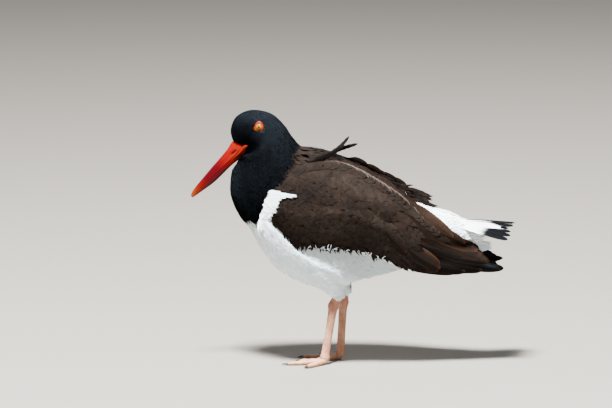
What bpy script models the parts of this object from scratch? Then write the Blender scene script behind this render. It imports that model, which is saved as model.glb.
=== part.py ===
"""American oystercatcher, life size, standing at rest: a still model such as a museum shows.

Sizes are in millimetres until a mesh is written, which turns them into metres.
The bird faces -X, its left side faces -Y and it stands on Z = 0.
"""

import math

import bmesh
import bpy
import numpy as np
from mathutils import Matrix, Vector

METRES = 0.001
GAP = 0.3  # free space kept between neighbouring pieces
NEAR, FAR = -1, 1  # the bird's left side is at -Y, its right side at +Y
SIDE_NAMES = {NEAR: "left", FAR: "right"}

# The body is one long loft. Each station is a flat section that holds a point of the
# upper outline, a point of the lower outline and the half width between them. The
# sections of the head open like a fan about the chin, and those of the trunk lean back.
BODY_STATIONS = [
    # upper x, z        lower x, z        half width
    (-138.5, 257.0, -124.5, 240.0, 7.0),  # base of the bill
    (-141.0, 269.5, -124.0, 239.3, 11.5),  # forehead
    (-136.0, 283.5, -123.4, 238.6, 14.8),  # front of the crown
    (-123.5, 291.6, -123.0, 238.0, 16.8),  # crown
    (-109.0, 292.6, -123.2, 237.2, 18.2),  # hind crown, above the eye
    (-92.8, 287.6, -124.5, 236.0, 19.5),  # back of the head
    (-79.6, 275.2, -130.0, 233.5, 21.0),  # nape
    (-70.6, 261.6, -137.6, 229.0, 24.0),  # foot of the nape
    (-62.5, 253.0, -141.0, 211.9, 30.0),  # base of the neck
    (-51.0, 250.5, -140.4, 193.4, 37.0),  # front of the breast
    (-37.5, 248.4, -132.5, 173.6, 43.5),
    (-21.5, 243.5, -118.0, 153.5, 48.0),
    (-6.5, 235.5, -104.5, 130.0, 50.5),  # breast
    (7.5, 225.7, -86.0, 108.0, 51.0),
    (21.5, 215.2, -58.5, 93.0, 50.0),
    (36.0, 205.0, -25.0, 87.5, 47.0),  # belly
    (56.0, 193.0, 13.5, 98.0, 40.5),
    (80.0, 183.5, 59.0, 110.0, 33.0),  # rump and vent
    (107.5, 175.3, 103.0, 123.5, 25.0),
    (132.0, 165.0, 136.0, 136.5, 17.5),
    (147.5, 156.5, 149.5, 146.5, 8.0),  # end of the tail coverts
]
SECTION_POINTS = 24
SECTION_FULLNESS = 0.88  # under 1 makes a section squarer than an ellipse
FACE_CENTRE = (-133.0, 248.0)  # the head narrows towards this point at the base of the bill
FACE_REACH = 13.0
FACE_NARROWING = 0.5

# Where the body is parted, in station numbers, and how many rings each part has.
BODY_PARTS = [
    ("head", 0.0, 6.0, 14, "black_plumage"),
    ("neck", 6.0, 8.6, 6, "black_plumage"),
    ("breast", 8.6, 12.0, 7, "white_plumage"),
    ("trunk", 12.0, 16.2, 8, "white_plumage"),
    ("tail_coverts", 16.2, 20.0, 8, "white_plumage"),
]
PART_GAP = 0.012  # half the gap between two parts, in station numbers

# Bill. It runs from its base down along one straight axis.
BILL_BASE = (-131.7, 248.6)
BILL_TILT = 45.4  # degrees below the level
BILL_LENGTH = 78.0
BILL_STATIONS = [
    # distance, upper edge, lower edge, line of the mouth, half width
    (1.2, 10.6, -9.6, -4.0, 6.0),
    (10.0, 8.7, -8.7, -3.3, 5.2),
    (21.0, 7.7, -7.6, -3.0, 4.6),
    (36.0, 6.8, -7.7, -2.4, 4.1),
    (50.0, 5.7, -7.1, -1.7, 3.5),
    (63.0, 4.6, -4.9, -1.1, 2.6),
    (73.0, 3.2, -3.2, -0.8, 1.6),
    (77.6, 1.0, -2.1, -0.8, 1.0),
]
BILL_RINGS = 14
GAPE_CENTRE = (-126.0, 7.6, 248.6)
GAPE_HALF_SIZE = (6.8, 2.6, 2.2)

# Eye, on the side of the head.
EYE_CENTRE = (-107.8, 13.6, 275.2)
EYE_FORWARD = 9.0  # degrees that the eye looks ahead of straight sideways
EYE_RADIUS = 5.4
RING_RADIUS = 4.9  # middle of the fleshy ring round the eye
RING_THICKNESS = 1.25
RING_OUT = 3.2  # how far the ring sits out from the eye's centre
SOCKET_RADIUS = RING_RADIUS + RING_THICKNESS + GAP
SOCKET_DEPTH = 6.0

# Folded wing, seen from the side: the upper and lower edges, as height along x.
WING_TOP = [
    (-90.0, 196.0), (-81.0, 217.5), (-70.0, 229.0), (-56.0, 235.0), (-38.0, 237.5),
    (-20.0, 237.0), (-4.0, 232.5), (13.0, 224.0), (30.0, 213.5), (48.0, 201.5), (65.0, 186.5),
    (82.0, 170.5), (99.0, 156.0), (113.0, 145.5), (128.0, 139.0), (143.0, 134.5),
    (150.5, 128.0), (155.0, 121.5), (165.0, 116.5), (172.5, 111.8),
]  # fmt: skip
WING_BOTTOM = [
    (-90.0, 180.0), (-79.0, 153.0), (-65.0, 140.0), (-50.0, 136.5), (-33.0, 135.0),
    (-15.0, 134.0), (7.0, 131.5), (30.0, 123.5), (50.0, 115.5), (65.0, 110.5), (94.0, 109.5),
    (117.0, 108.0), (134.0, 107.8), (150.0, 109.5), (172.5, 110.8),
]  # fmt: skip
# How far out the wing stands at mid height, and how thick it is where it is clear of the body.
WING_OUT = [(-90, 44), (-60, 51), (-20, 56), (25, 54), (60, 47), (100, 37), (140, 28), (173, 20)]
WING_THICKNESS = [(50, 12), (75, 7), (120, 4.5), (150, 3), (173, 1.6)]  # of its free part
WING_OVER_BODY = 4.0  # least cover of feathers over the body's side
WING_EDGE = 1.2  # thickness of the wing's edges
WING_INSIDE = 14.0  # no part of a wing comes nearer to the middle than this
WING_ACROSS = 7  # points from the upper edge to the lower one
FAR_WING_LIFT = [  # how much higher the wind holds the right wing, along x
    (-90, 0), (0, 1), (30, 3), (62, 7), (100, 3), (140, 3), (173, 8),
]  # fmt: skip
WING_PART_X = 55.0  # coverts end and the long feathers begin
QUILL_LINE = [(55, 158), (90, 136), (130, 124), (151, 120.5)]  # tertials above, primaries below
TERTIAL_END_X = 150.5

# Scapulars of the right side, which the wind lifts above the back as a ragged crest.
CREST_TOP = [
    (24.0, 219.0), (33.0, 216.0), (47.0, 208.5), (60.0, 204.0), (71.0, 201.0), (76.0, 194.5),
    (81.0, 196.0), (86.0, 188.0), (92.0, 183.5),
]  # fmt: skip
CREST_DEPTH = [(24, 14), (60, 26), (80, 16), (92, 3)]
CREST_FOOT_OUT = 7.0
CREST_LEAN = 3.0  # how much further out its upper edge is
CREST_HALF_THICKNESS = 2.6

# Two lone feathers that stand up from the left of the back, behind the neck: foot, bends and tip.
LIFTED_FEATHERS = {
    "lifted_feather_upper": [(-37, -28.5, 241.6), (-26, -18.5, 245.6), (-14.5, -7, 252.6), (-5, 0, 262.5)],
    "lifted_feather_lower": [(-35, -24, 240.2), (-24, -12, 243.9), (-15.5, -3, 248), (4.7, 6, 253.1)],
}
LIFTED_WIDTH = 5.6
LIFTED_THICKNESS = 0.8

# Tail: a fan with the feathers of its near side dropped lower, as an arch.
TAIL_ROOT = (98.0, 0.0, 166.5)
TAIL_LENGTH = 88.0
TAIL_SLOPE = -4.5  # degrees, along the middle
TAIL_HALF_ANGLE = 19.0  # degrees of the fan
TAIL_DROP = 15.0  # how much lower the outer feathers end than the middle ones
TAIL_ROOT_HALF_WIDTH = 9.0
TAIL_THICKNESS = 1.4
TAIL_FEATHERS = 12
TAIL_NOTCH = (-0.46, 0.07, 24.0)  # place across the fan, half width and depth of the gap

# Legs. The left one is a little ahead of the right one.
LEGS = {
    NEAR: {"hip": (-38, -21, 122), "cuff": (-17.6, -19, 82), "ankle": (-23.0, -18, 69.5),
           "foot": (-33.0, -18, 7.2)},
    FAR: {"hip": (-32, 21, 122), "cuff": (-9.2, 17, 82), "ankle": (-11.5, 16, 68.5),
          "foot": (-14.8, 15, 7.2)},
}  # fmt: skip
THIGH_RADII = [(27, 20), (25, 18.5), (20, 15), (13, 11), (8.2, 7.4)]  # front to back, across
SHANK_RADII = [4.7, 5.0, 5.9, 5.0, 4.5, 4.4, 4.7, 5.4]  # front to back; the ankle is the third
SHANK_SHARE_ACROSS = 0.78
TOES = {  # length, turn from straight ahead (outwards is positive)
    "middle": (50.0, 9.0),
    "outer": (41.0, 54.0),
    "inner": (37.0, -24.0),
}
TOE_RADIUS = 3.9
TOE_TIP_RADIUS = 2.2
TOE_HEIGHT = 2.6  # height of a toe's middle, so that a flat sole is left on the floor
CLAW_LENGTH = 6.0
KNUCKLE_RADIUS = 5.6

COLOURS = {  # base colour, roughness
    "black_plumage": ((0.012, 0.013, 0.016), 0.75),
    "white_plumage": ((0.80, 0.80, 0.78), 0.80),
    "brown_plumage": ((0.075, 0.050, 0.036), 0.75),
    "tail_plumage": ((0.035, 0.026, 0.022), 0.75),
    "bill_horn": ((0.75, 0.060, 0.025), 0.35),
    "leg_skin": ((0.70, 0.42, 0.34), 0.55),
    "claw_horn": ((0.05, 0.040, 0.035), 0.40),
    "eye_ring_skin": ((0.80, 0.130, 0.020), 0.45),
    "eye_iris": ((0.90, 0.420, 0.020), 0.10),
}


def material(name):
    """A plain finish of that name."""
    found = bpy.data.materials.get(name)
    if found:
        return found
    made = bpy.data.materials.new(name)
    made.use_nodes = True
    colour, roughness = COLOURS[name]
    shader = made.node_tree.nodes["Principled BSDF"]
    shader.inputs["Base Color"].default_value = (*colour, 1.0)
    shader.inputs["Roughness"].default_value = roughness
    shader.inputs["Metallic"].default_value = 0.0
    return made


def smooth_line(points, x):
    """Values at x of a smooth line through (x, value) points, with slopes from their neighbours."""
    points = np.asarray(points, float)
    x = np.asarray(x, float)
    slopes = np.gradient(points[:, 1], points[:, 0])
    i = np.clip(np.searchsorted(points[:, 0], x) - 1, 0, len(points) - 2)
    width = points[i + 1, 0] - points[i, 0]
    f = np.clip((x - points[i, 0]) / width, 0, 1)
    rise = f * f * (3 - 2 * f)
    return (
        points[i, 1] * (1 - rise)
        + points[i + 1, 1] * rise
        + width * (slopes[i] * f * (1 - f) ** 2 - slopes[i + 1] * f * f * (1 - f))
    )


def through_stations(stations, at):
    """Rows read from a smooth curve through evenly numbered stations (Catmull-Rom)."""
    rows = np.asarray(stations, float)
    padded = np.vstack([2 * rows[0] - rows[1], rows, 2 * rows[-1] - rows[-2]])
    at = np.atleast_1d(np.asarray(at, float))
    i = np.clip(np.floor(at).astype(int), 0, len(rows) - 2)
    f = (at - i)[:, None]
    a, b, c, d = (padded[i + k] for k in range(4))
    return 0.5 * (
        2 * b + (c - a) * f + (2 * a - 5 * b + 4 * c - d) * f**2 + (3 * b - a - 3 * c + d) * f**3
    )


def add_object(name, mesh, finish):
    """A smooth-shaded object made from a bmesh in millimetres."""
    bmesh.ops.scale(mesh, vec=(METRES,) * 3, verts=mesh.verts)
    bmesh.ops.recalc_face_normals(mesh, faces=mesh.faces)
    data = bpy.data.meshes.new(name)
    mesh.to_mesh(data)
    mesh.free()
    data.shade_smooth()
    data.set_sharp_from_angle(angle=math.radians(50))
    if finish:
        data.materials.append(material(finish))
    made = bpy.data.objects.new(name, data)
    bpy.context.scene.collection.objects.link(made)
    return made


def loft(name, rings, finish):
    """One closed body through rings of the same number of points, its two ends closed."""
    mesh = bmesh.new()
    loops = [[mesh.verts.new(point) for point in ring] for ring in rings]
    count = len(loops[0])
    for first, second in zip(loops, loops[1:]):
        for k in range(count):
            after = (k + 1) % count
            mesh.faces.new((first[k], first[after], second[after], second[k]))
    mesh.faces.new(loops[0][::-1])
    mesh.faces.new(loops[-1])
    return add_object(name, mesh, finish)


def tube(name, path, radii, finish, sides=12, share_across=1.0):
    """A round or oval limb along a path of points; radii are its front-to-back ones."""
    path = np.asarray(path, float)
    ahead = np.gradient(path, axis=0)
    ahead /= np.linalg.norm(ahead, axis=1)[:, None]
    across = np.cross(ahead, (0, 0, 1.0)) if abs(ahead[0, 2]) < 0.7 else np.cross(ahead, (1.0, 0, 0))
    across /= np.linalg.norm(across, axis=1)[:, None]
    up = np.cross(across, ahead)
    angles = np.linspace(0, 2 * math.pi, sides, endpoint=False)
    rings = [
        [p + r * (share_across * math.cos(a) * side + math.sin(a) * rise) for a in angles]
        for p, r, side, rise in zip(path, radii, across, up)
    ]
    return loft(name, rings, finish)


def as_cutter(obj):
    """Leaves a helper out of the model: it only cuts other pieces."""
    obj.hide_render = True
    obj.display_type = "WIRE"
    return obj


def boolean(obj, other, operation="DIFFERENCE"):
    """Cuts obj with other, or joins other to it."""
    change = obj.modifiers.new(operation.lower() + "_" + other.name, "BOOLEAN")
    change.operation = operation
    change.solver = "EXACT"
    change.object = other
    return obj


def body_rings(at, grow=0.0):
    """Rings of the body's loft at these station numbers, grown outwards by some millimetres."""
    rings = []
    angles = np.linspace(0, 2 * math.pi, SECTION_POINTS, endpoint=False)
    for ux, uz, lx, lz, half in through_stations(BODY_STATIONS, at):
        upper, lower = np.array((ux, 0, uz)), np.array((lx, 0, lz))
        chord = (lower - upper) / np.linalg.norm(lower - upper)
        upper, lower = upper - grow * chord, lower + grow * chord
        share = (1 - np.cos(angles)) / 2
        out = np.sign(np.sin(angles)) * np.abs(np.sin(angles)) ** SECTION_FULLNESS
        ring = upper + share[:, None] * (lower - upper)
        away = ((ring[:, ::2] - FACE_CENTRE) ** 2).sum(axis=1)
        narrow = 1 - FACE_NARROWING * np.exp(-away / (2 * FACE_REACH**2))
        ring[:, 1] = (half * narrow + grow) * out
        rings.append(ring)
    return rings


def flank(x, z):
    """The body's half width at points of its side view, 0 outside it."""
    samples = through_stations(BODY_STATIONS, np.linspace(5, len(BODY_STATIONS) - 1, 600))
    ux, uz, lx, lz, half = samples.T
    x, z = np.asarray(x, float)[:, None], np.asarray(z, float)[:, None]
    side = (ux - lx) * (z - lz) - (uz - lz) * (x - lx)
    crossed = side[:, :-1] * side[:, 1:] <= 0
    found = crossed.any(axis=1)
    i = np.argmax(crossed, axis=1)
    length = (ux[i] - lx[i]) ** 2 + (uz[i] - lz[i]) ** 2
    share = ((ux[i] - x[:, 0]) * (ux[i] - lx[i]) + (uz[i] - z[:, 0]) * (uz[i] - lz[i])) / length
    share = np.clip(share, 0, 1)
    return np.where(found, half[i] * (2 * np.sqrt(share * (1 - share))) ** SECTION_FULLNESS, 0)


def make_body():
    """The head, neck, breast, trunk and tail coverts, and one cutter of their joint shape."""
    last = len(BODY_STATIONS) - 1
    parts, all_places = {}, []
    for name, start, end, count, finish in BODY_PARTS:
        start += PART_GAP if start > 0 else 0
        end -= PART_GAP if end < last else 0
        places = np.linspace(start, end, count)
        parts[name] = loft(name, body_rings(places), finish)
        all_places.extend(places)
    cutter = as_cutter(loft("body_cutter", body_rings(all_places, grow=1.5 * GAP), None))
    return parts, cutter


def bill_point(distance, height, out):
    """A point of the bill from its distance along the axis, height above it and place across."""
    tilt = math.radians(BILL_TILT)
    x = BILL_BASE[0] - distance * math.cos(tilt) - height * math.sin(tilt)
    z = BILL_BASE[1] - distance * math.sin(tilt) + height * math.cos(tilt)
    return (x, out, z)


def mandible(name, is_upper, stations=BILL_STATIONS, grow=0.0):
    """Half of the bill: a loft with a flat face along the line of the mouth."""
    rings = []
    for distance, top, bottom, mouth, half in through_stations(
        stations, np.linspace(0, len(stations) - 1, BILL_RINGS)
    ):
        sign = 1 if is_upper else -1
        height = (top - mouth if is_upper else mouth - bottom) - GAP / 2 + grow
        start = mouth + sign * GAP / 2 - sign * grow
        ring = []
        for share, out in ((0, 0), (0, 1), (0.3, 1), (0.62, 0.86), (0.86, 0.55), (1, 0.18)):
            ring.append(bill_point(distance, start + sign * share * (height + grow), out * (half + grow)))
        ring += [(x, -y, z) for x, y, z in reversed(ring[1:])]
        rings.append(ring)
    return loft(name, rings, "bill_horn")


def ellipsoid(name, centre, radii, tilt, finish, segments=14):
    """A ball stretched along its axes and turned about Y by a number of degrees."""
    mesh = bmesh.new()
    bmesh.ops.create_uvsphere(mesh, u_segments=segments, v_segments=segments // 2, radius=1.0)
    place = (
        Matrix.Translation(Vector(centre))
        @ Matrix.Rotation(math.radians(tilt), 4, "Y")
        @ Matrix.Diagonal((*radii, 1.0))
    )
    bmesh.ops.transform(mesh, matrix=place, verts=mesh.verts)
    return add_object(name, mesh, finish)


def make_bill(head, neck):
    """The two mandibles, and the fleshy corner of the mouth on each side of the face."""
    for name, is_upper in (("upper_mandible", True), ("lower_mandible", False)):
        mandible(name, is_upper)
        boolean(neck, as_cutter(mandible(name + "_cutter", is_upper, grow=GAP)))
    for side, word in SIDE_NAMES.items():
        x, y, z = GAPE_CENTRE
        place = (x, side * y, z)
        boolean(head, as_cutter(ellipsoid(
            f"gape_cutter_{word}", place, [r + GAP for r in GAPE_HALF_SIZE], -BILL_TILT, None)))
        gape = ellipsoid(f"gape_{word}", place, GAPE_HALF_SIZE, -BILL_TILT, "bill_horn")
        for name, is_upper in (("upper_mandible", True), ("lower_mandible", False)):
            boolean(gape, bpy.data.objects[name + "_cutter"])


def eye_matrix(side):
    """Places a shape made along +Z at the eye, so that +Z looks out of the head."""
    x, y, z = EYE_CENTRE
    out = Vector((-math.sin(math.radians(EYE_FORWARD)), side * math.cos(math.radians(EYE_FORWARD)), 0))
    return Matrix.Translation((x, side * y, z)) @ out.to_track_quat("Z", "Y").to_matrix().to_4x4()


def make_eye(side, head):
    """An eyeball and its fleshy ring, set in a socket cut into the head."""
    word = SIDE_NAMES[side]
    place = eye_matrix(side)

    socket = bmesh.new()
    bmesh.ops.create_cone(socket, cap_ends=True, segments=24, radius1=SOCKET_RADIUS,
                          radius2=SOCKET_RADIUS, depth=2 * SOCKET_DEPTH)
    lift = Matrix.Translation((0, 0, RING_OUT - RING_THICKNESS - GAP + SOCKET_DEPTH))
    bmesh.ops.transform(socket, matrix=place @ lift, verts=socket.verts)
    boolean(head, as_cutter(add_object(f"socket_cutter_{word}", socket, None)))

    def ball(name, radius, finish):
        mesh = bmesh.new()
        bmesh.ops.create_uvsphere(mesh, u_segments=16, v_segments=8, radius=radius)
        bmesh.ops.transform(mesh, matrix=place, verts=mesh.verts)
        return add_object(name, mesh, finish)

    ball(f"eye_{word}", EYE_RADIUS, "eye_iris")
    boolean(head, as_cutter(ball(f"eye_cutter_{word}", EYE_RADIUS + GAP, None)))

    mesh = bmesh.new()
    steps, sides = 18, 6
    loops = []
    for turn in np.linspace(0, 2 * math.pi, steps, endpoint=False):
        loop = []
        for a in np.linspace(0, 2 * math.pi, sides, endpoint=False):
            section = Vector((RING_RADIUS + RING_THICKNESS * math.cos(a), 0,
                              RING_OUT + RING_THICKNESS * math.sin(a)))
            section *= max(1, (EYE_RADIUS + GAP) / section.length)  # kept off the eyeball
            loop.append(mesh.verts.new(Matrix.Rotation(turn, 3, "Z") @ section))
        loops.append(loop)
    for i in range(steps):
        for k in range(sides):
            a, b = loops[i], loops[(i + 1) % steps]
            mesh.faces.new((a[k], b[k], b[(k + 1) % sides], a[(k + 1) % sides]))
    bmesh.ops.transform(mesh, matrix=place, verts=mesh.verts)
    add_object(f"eye_ring_{word}", mesh, "eye_ring_skin")


def wing_rings(side, xs, top, bottom):
    """Upright sections of a folded wing between an upper and a lower edge, at these x."""
    rings = []
    lifts = smooth_line(FAR_WING_LIFT, xs) if side == FAR else np.zeros(len(xs))
    for x, high, low, lift in zip(xs, top, bottom, lifts):
        z = np.linspace(high, low, WING_ACROSS)
        wing_high, wing_low = smooth_line(WING_TOP, x), smooth_line(WING_BOTTOM, x)
        share = (wing_high - z) / (wing_high - wing_low)  # 0 at the wing's upper edge, 1 at its lower
        z += lift
        own = smooth_line(WING_OUT, x) * np.interp(share, (0, 0.25, 0.55, 1), (0.45, 0.86, 1.0, 0.90))
        body = flank(np.full(WING_ACROSS, x), z)
        over = body + WING_OVER_BODY
        out = np.maximum(own, over) + 1.5 * np.exp(-((own - over) / 3.0) ** 2)
        thick = smooth_line(WING_THICKNESS, x) * np.sin(math.pi * np.clip(share, 0, 1)) ** 0.5
        inner = body - 2 if x < WING_PART_X else out - thick
        inner = np.minimum(np.maximum(inner, WING_INSIDE), out - WING_EDGE)
        outer_line = [(x, side * y, h) for y, h in zip(out, z)]
        inner_line = [(x, side * y, h) for y, h in zip(inner, z)]
        rings.append(outer_line + inner_line[::-1])
    return rings


def make_wing(side, body_cutter):
    """A folded wing in three pieces: the coverts, the tertials and the primaries."""

    def piece(name, xs, top, bottom, finish):
        made = loft(f"{name}_{SIDE_NAMES[side]}", wing_rings(side, xs, top, bottom), finish)
        boolean(made, body_cutter)

    xs = np.linspace(WING_TOP[0][0], WING_PART_X - GAP, 14)
    piece("wing", xs, smooth_line(WING_TOP, xs), smooth_line(WING_BOTTOM, xs), "brown_plumage")
    xs = np.linspace(WING_PART_X, TERTIAL_END_X, 10)
    piece("tertials", xs, smooth_line(WING_TOP, xs), smooth_line(QUILL_LINE, xs) + GAP, "brown_plumage")
    xs = np.linspace(WING_PART_X, WING_TOP[-1][0], 13)
    top = np.minimum(smooth_line(QUILL_LINE, xs), smooth_line(WING_TOP, xs))
    piece("primaries", xs, top, smooth_line(WING_BOTTOM, xs), "tail_plumage")


def make_crest(body_cutter):
    """The ragged crest of lifted scapulars on the right side of the back."""
    rings = []
    angles = np.linspace(0, 2 * math.pi, 10, endpoint=False)
    for x, high in CREST_TOP:
        share = (1 + np.cos(angles)) / 2  # 1 at the upper edge
        y = CREST_FOOT_OUT + CREST_LEAN * share + CREST_HALF_THICKNESS * (1.25 - share) * np.sin(angles)
        z = high - smooth_line(CREST_DEPTH, x) * (1 - share)
        rings.append(np.column_stack([np.full_like(y, x), y, z]))
    return boolean(loft("scapular_crest", rings, "tail_plumage"), body_cutter)


def make_lifted_feathers(body_cutter):
    """Two slim blades that stand up from the back."""
    for name, points in LIFTED_FEATHERS.items():
        path = through_stations(points, np.linspace(0, len(points) - 1, 9))
        ahead = np.gradient(path, axis=0)
        ahead /= np.linalg.norm(ahead, axis=1)[:, None]
        rings = []
        for share, p, up in zip(np.linspace(0, 1, len(path)), path, np.cross(ahead, (0, 1.0, 0))):
            half = LIFTED_WIDTH / 2 * math.sqrt(1 - share**3) + 0.5
            thin = np.array((0, LIFTED_THICKNESS / 2, 0))
            rings.append([p + half * up, p + thin, p - half * up, p - thin])
        boolean(loft(name, rings, "tail_plumage"), body_cutter)


def tail_point(across, distance, lift):
    """A point of the tail: its place across the fan (-1 to 1), distance from the root, and lift."""
    turn = math.radians(TAIL_HALF_ANGLE) * across
    x0, y0, z0 = TAIL_ROOT
    x = x0 + distance * math.cos(turn)
    y = y0 + across * TAIL_ROOT_HALF_WIDTH + distance * math.sin(turn)
    z = z0 + distance * math.tan(math.radians(TAIL_SLOPE)) - TAIL_DROP * across**2 * distance / TAIL_LENGTH
    return (x, y, z + lift)


def make_tail(body_cutter):
    """A fan of tail feathers as one thin sheet, its end cut to the shape of the feather tips."""
    place, width, depth = TAIL_NOTCH
    across = np.linspace(-1, 1, 2 * TAIL_FEATHERS + 1)
    feather = np.abs(np.sin(across * TAIL_FEATHERS * math.pi / 2))
    reach = TAIL_LENGTH * (1 - 0.05 * across**2) - 3.0 * (1 - feather)
    reach -= depth * np.exp(-(((across - place) / width) ** 2))
    rings = []
    for a, far in zip(across, reach):
        outward = [tail_point(a, far * s, TAIL_THICKNESS / 2) for s in (0, 0.6, 1)]
        back = [tail_point(a, far * s, -TAIL_THICKNESS / 2) for s in (1, 0.6, 0)]
        rings.append(outward + back)
    return boolean(loft("tail", rings, "tail_plumage"), body_cutter)


def make_thigh(side, body_cutter):
    """The feathered upper leg, from the hip down to its white cuff."""
    leg = LEGS[side]
    hip, cuff = np.array(leg["hip"], float), np.array(leg["cuff"], float)
    axis = (cuff - hip) / np.linalg.norm(cuff - hip)
    across = np.array((0, 1.0, 0)) - axis[1] * axis
    across /= np.linalg.norm(across)
    front = np.cross(across, axis)
    angles = np.linspace(0, 2 * math.pi, 18, endpoint=False)
    rings = []
    for long, wide in through_stations(THIGH_RADII, np.linspace(0, len(THIGH_RADII) - 1, 9)):
        middle = hip + (cuff - hip) * len(rings) / 8
        rings.append([middle + long * math.cos(a) * front + wide * math.sin(a) * across for a in angles])
    return boolean(loft(f"thigh_{SIDE_NAMES[side]}", rings, "white_plumage"), body_cutter)


def make_shank(side):
    """The bare leg: a short stretch under the cuff, the ankle, and the long shank."""
    leg = LEGS[side]
    cuff, ankle, foot = (np.array(leg[k], float) for k in ("cuff", "ankle", "foot"))
    hip = np.array(leg["hip"], float)
    axis = (cuff - hip) / np.linalg.norm(cuff - hip)
    top = cuff + axis * GAP * 1.5
    bottom = foot + (0, 0, KNUCKLE_RADIUS + GAP)
    path = [top, top + axis * 5.0, ankle, ankle + (bottom - ankle) * 0.1,
            ankle + (bottom - ankle) * 0.3, ankle + (bottom - ankle) * 0.6,
            ankle + (bottom - ankle) * 0.88, bottom]  # fmt: skip
    return tube(f"shank_{SIDE_NAMES[side]}", path, SHANK_RADII, "leg_skin",
                sides=12, share_across=SHANK_SHARE_ACROSS)


def toe_path(side, name):
    """The path of a toe along the floor, from the knuckle to its tip, and its direction."""
    length, turn = TOES[name]
    foot = np.array(LEGS[side]["foot"], float)
    start = np.array((foot[0], foot[1], TOE_HEIGHT + 1.2))
    angle = math.radians(turn)
    ahead = np.array((-math.cos(angle), side * math.sin(angle), 0))
    shares = np.linspace(0, 1, 6)
    path = start + np.outer(shares * (length - CLAW_LENGTH), ahead)
    path[:, 2] = TOE_HEIGHT + 1.2 * (1 - shares) ** 2 - 0.5 * shares
    return path, ahead


def make_foot(side):
    """Three toes on one knuckle, with flat soles at the floor, and a claw for each toe."""
    word = SIDE_NAMES[side]
    x, y, z = LEGS[side]["foot"]
    foot = ellipsoid(f"foot_{word}", (x, y, z), (KNUCKLE_RADIUS, KNUCKLE_RADIUS * 0.95, KNUCKLE_RADIUS),
                     0, "leg_skin", segments=8)
    floor = bmesh.new()
    bmesh.ops.create_cube(floor, size=1.0)
    bmesh.ops.transform(floor, matrix=Matrix.Translation((x, y, -10)) @ Matrix.Diagonal((200, 200, 20, 1)),
                        verts=floor.verts)
    floor_cutter = as_cutter(add_object(f"floor_cutter_{word}", floor, None))
    for toe in TOES:
        path, ahead = toe_path(side, toe)
        swell = 0.35 * np.abs(np.cos(np.linspace(0, 2.5 * math.pi, len(path))))
        radii = np.linspace(TOE_RADIUS, TOE_TIP_RADIUS, len(path)) + swell
        boolean(foot, as_cutter(tube(f"toe_{toe}_{word}", path, radii, None, sides=7)), "UNION")

        tip = path[-1] + ahead * GAP
        claw_path = [tip, tip + ahead * CLAW_LENGTH * 0.5 + (0, 0, 0.1), tip + ahead * CLAW_LENGTH - (0, 0, 0.9)]
        claw = tube(f"claw_{toe}_{word}", claw_path, (1.8, 1.5, 0.5), "claw_horn", sides=6)
        boolean(claw, floor_cutter)
    boolean(foot, floor_cutter)


def main():
    """Clears the scene and makes every piece of the bird."""
    for obj in list(bpy.data.objects):
        bpy.data.objects.remove(obj)
    parts, body_cutter = make_body()
    make_bill(parts["head"], parts["neck"])
    for side in (NEAR, FAR):
        make_eye(side, parts["head"])
        make_thigh(side, body_cutter)
        make_shank(side)
        make_foot(side)
        make_wing(side, body_cutter)
    make_crest(body_cutter)
    make_lifted_feathers(body_cutter)
    make_tail(body_cutter)


main()
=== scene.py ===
import math
from functools import partial

import bpy
import numpy as np
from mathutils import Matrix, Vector


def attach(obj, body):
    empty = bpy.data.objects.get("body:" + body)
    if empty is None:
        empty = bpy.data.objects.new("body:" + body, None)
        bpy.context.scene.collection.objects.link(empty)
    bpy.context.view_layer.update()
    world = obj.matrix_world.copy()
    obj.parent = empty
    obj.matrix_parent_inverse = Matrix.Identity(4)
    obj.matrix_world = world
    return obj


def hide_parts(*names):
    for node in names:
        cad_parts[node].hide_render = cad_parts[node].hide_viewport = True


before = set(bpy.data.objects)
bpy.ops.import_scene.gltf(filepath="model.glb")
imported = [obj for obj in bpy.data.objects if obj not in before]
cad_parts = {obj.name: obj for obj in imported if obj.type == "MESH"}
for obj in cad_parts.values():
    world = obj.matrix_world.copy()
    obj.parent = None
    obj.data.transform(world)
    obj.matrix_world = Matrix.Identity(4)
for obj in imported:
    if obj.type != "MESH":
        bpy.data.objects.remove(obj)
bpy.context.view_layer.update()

# Sizes are in millimetres until a mesh is written. The bird faces -X, its left side faces -Y
# and the floor is Z = 0.
MM = 0.001
LEFT, RIGHT = -1, 1
WORD = {LEFT: "left", RIGHT: "right"}


# Stage: a plain pale floor, one large soft light from the upper left of the camera, a weaker one
# from the right and a pale sky. The camera looks level with the bird from far off, a little down.
CAMERA_LOOKS_DOWN = math.radians(8.0)
CAMERA_AIM = Vector((-0.0546, 0.0, 0.1841))
CAMERA_DISTANCE = 5.865
CAMERA_LENS_MM, CAMERA_SENSOR_MM = 300, 36
FLOOR_HALF_SIZE, FLOOR_COLOUR = 30.0, (0.17, 0.156, 0.136)
SKY_COLOUR, SKY_STRENGTH = (0.86, 0.89, 0.93, 1.0), 0.17
LIGHTS = (  # name, place, size, watts
    ("key_light", (-0.35, -1.25, 3.2), 0.6, 1500),
    ("fill_light", (2.6, -2.8, 1.2), 2.4, 8),
    ("rim_light", (0.6, 2.4, 2.2), 1.6, 60),
)


def plain_material(name, colour, roughness, **sockets):
    """A Principled material of one colour. Further sockets are given by name, with _ for spaces."""
    material = bpy.data.materials.new(name)
    material.use_nodes = True
    shader = material.node_tree.nodes["Principled BSDF"]
    shader.inputs["Base Color"].default_value = (*colour, 1.0)
    shader.inputs["Roughness"].default_value = roughness
    for socket, value in sockets.items():
        shader.inputs[socket.replace("_", " ")].default_value = value
    return material


def add_to_scene(name, data):
    """A new object of the scene that shows the data."""
    made = bpy.data.objects.new(name, data)
    bpy.context.scene.collection.objects.link(made)
    return made


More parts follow.
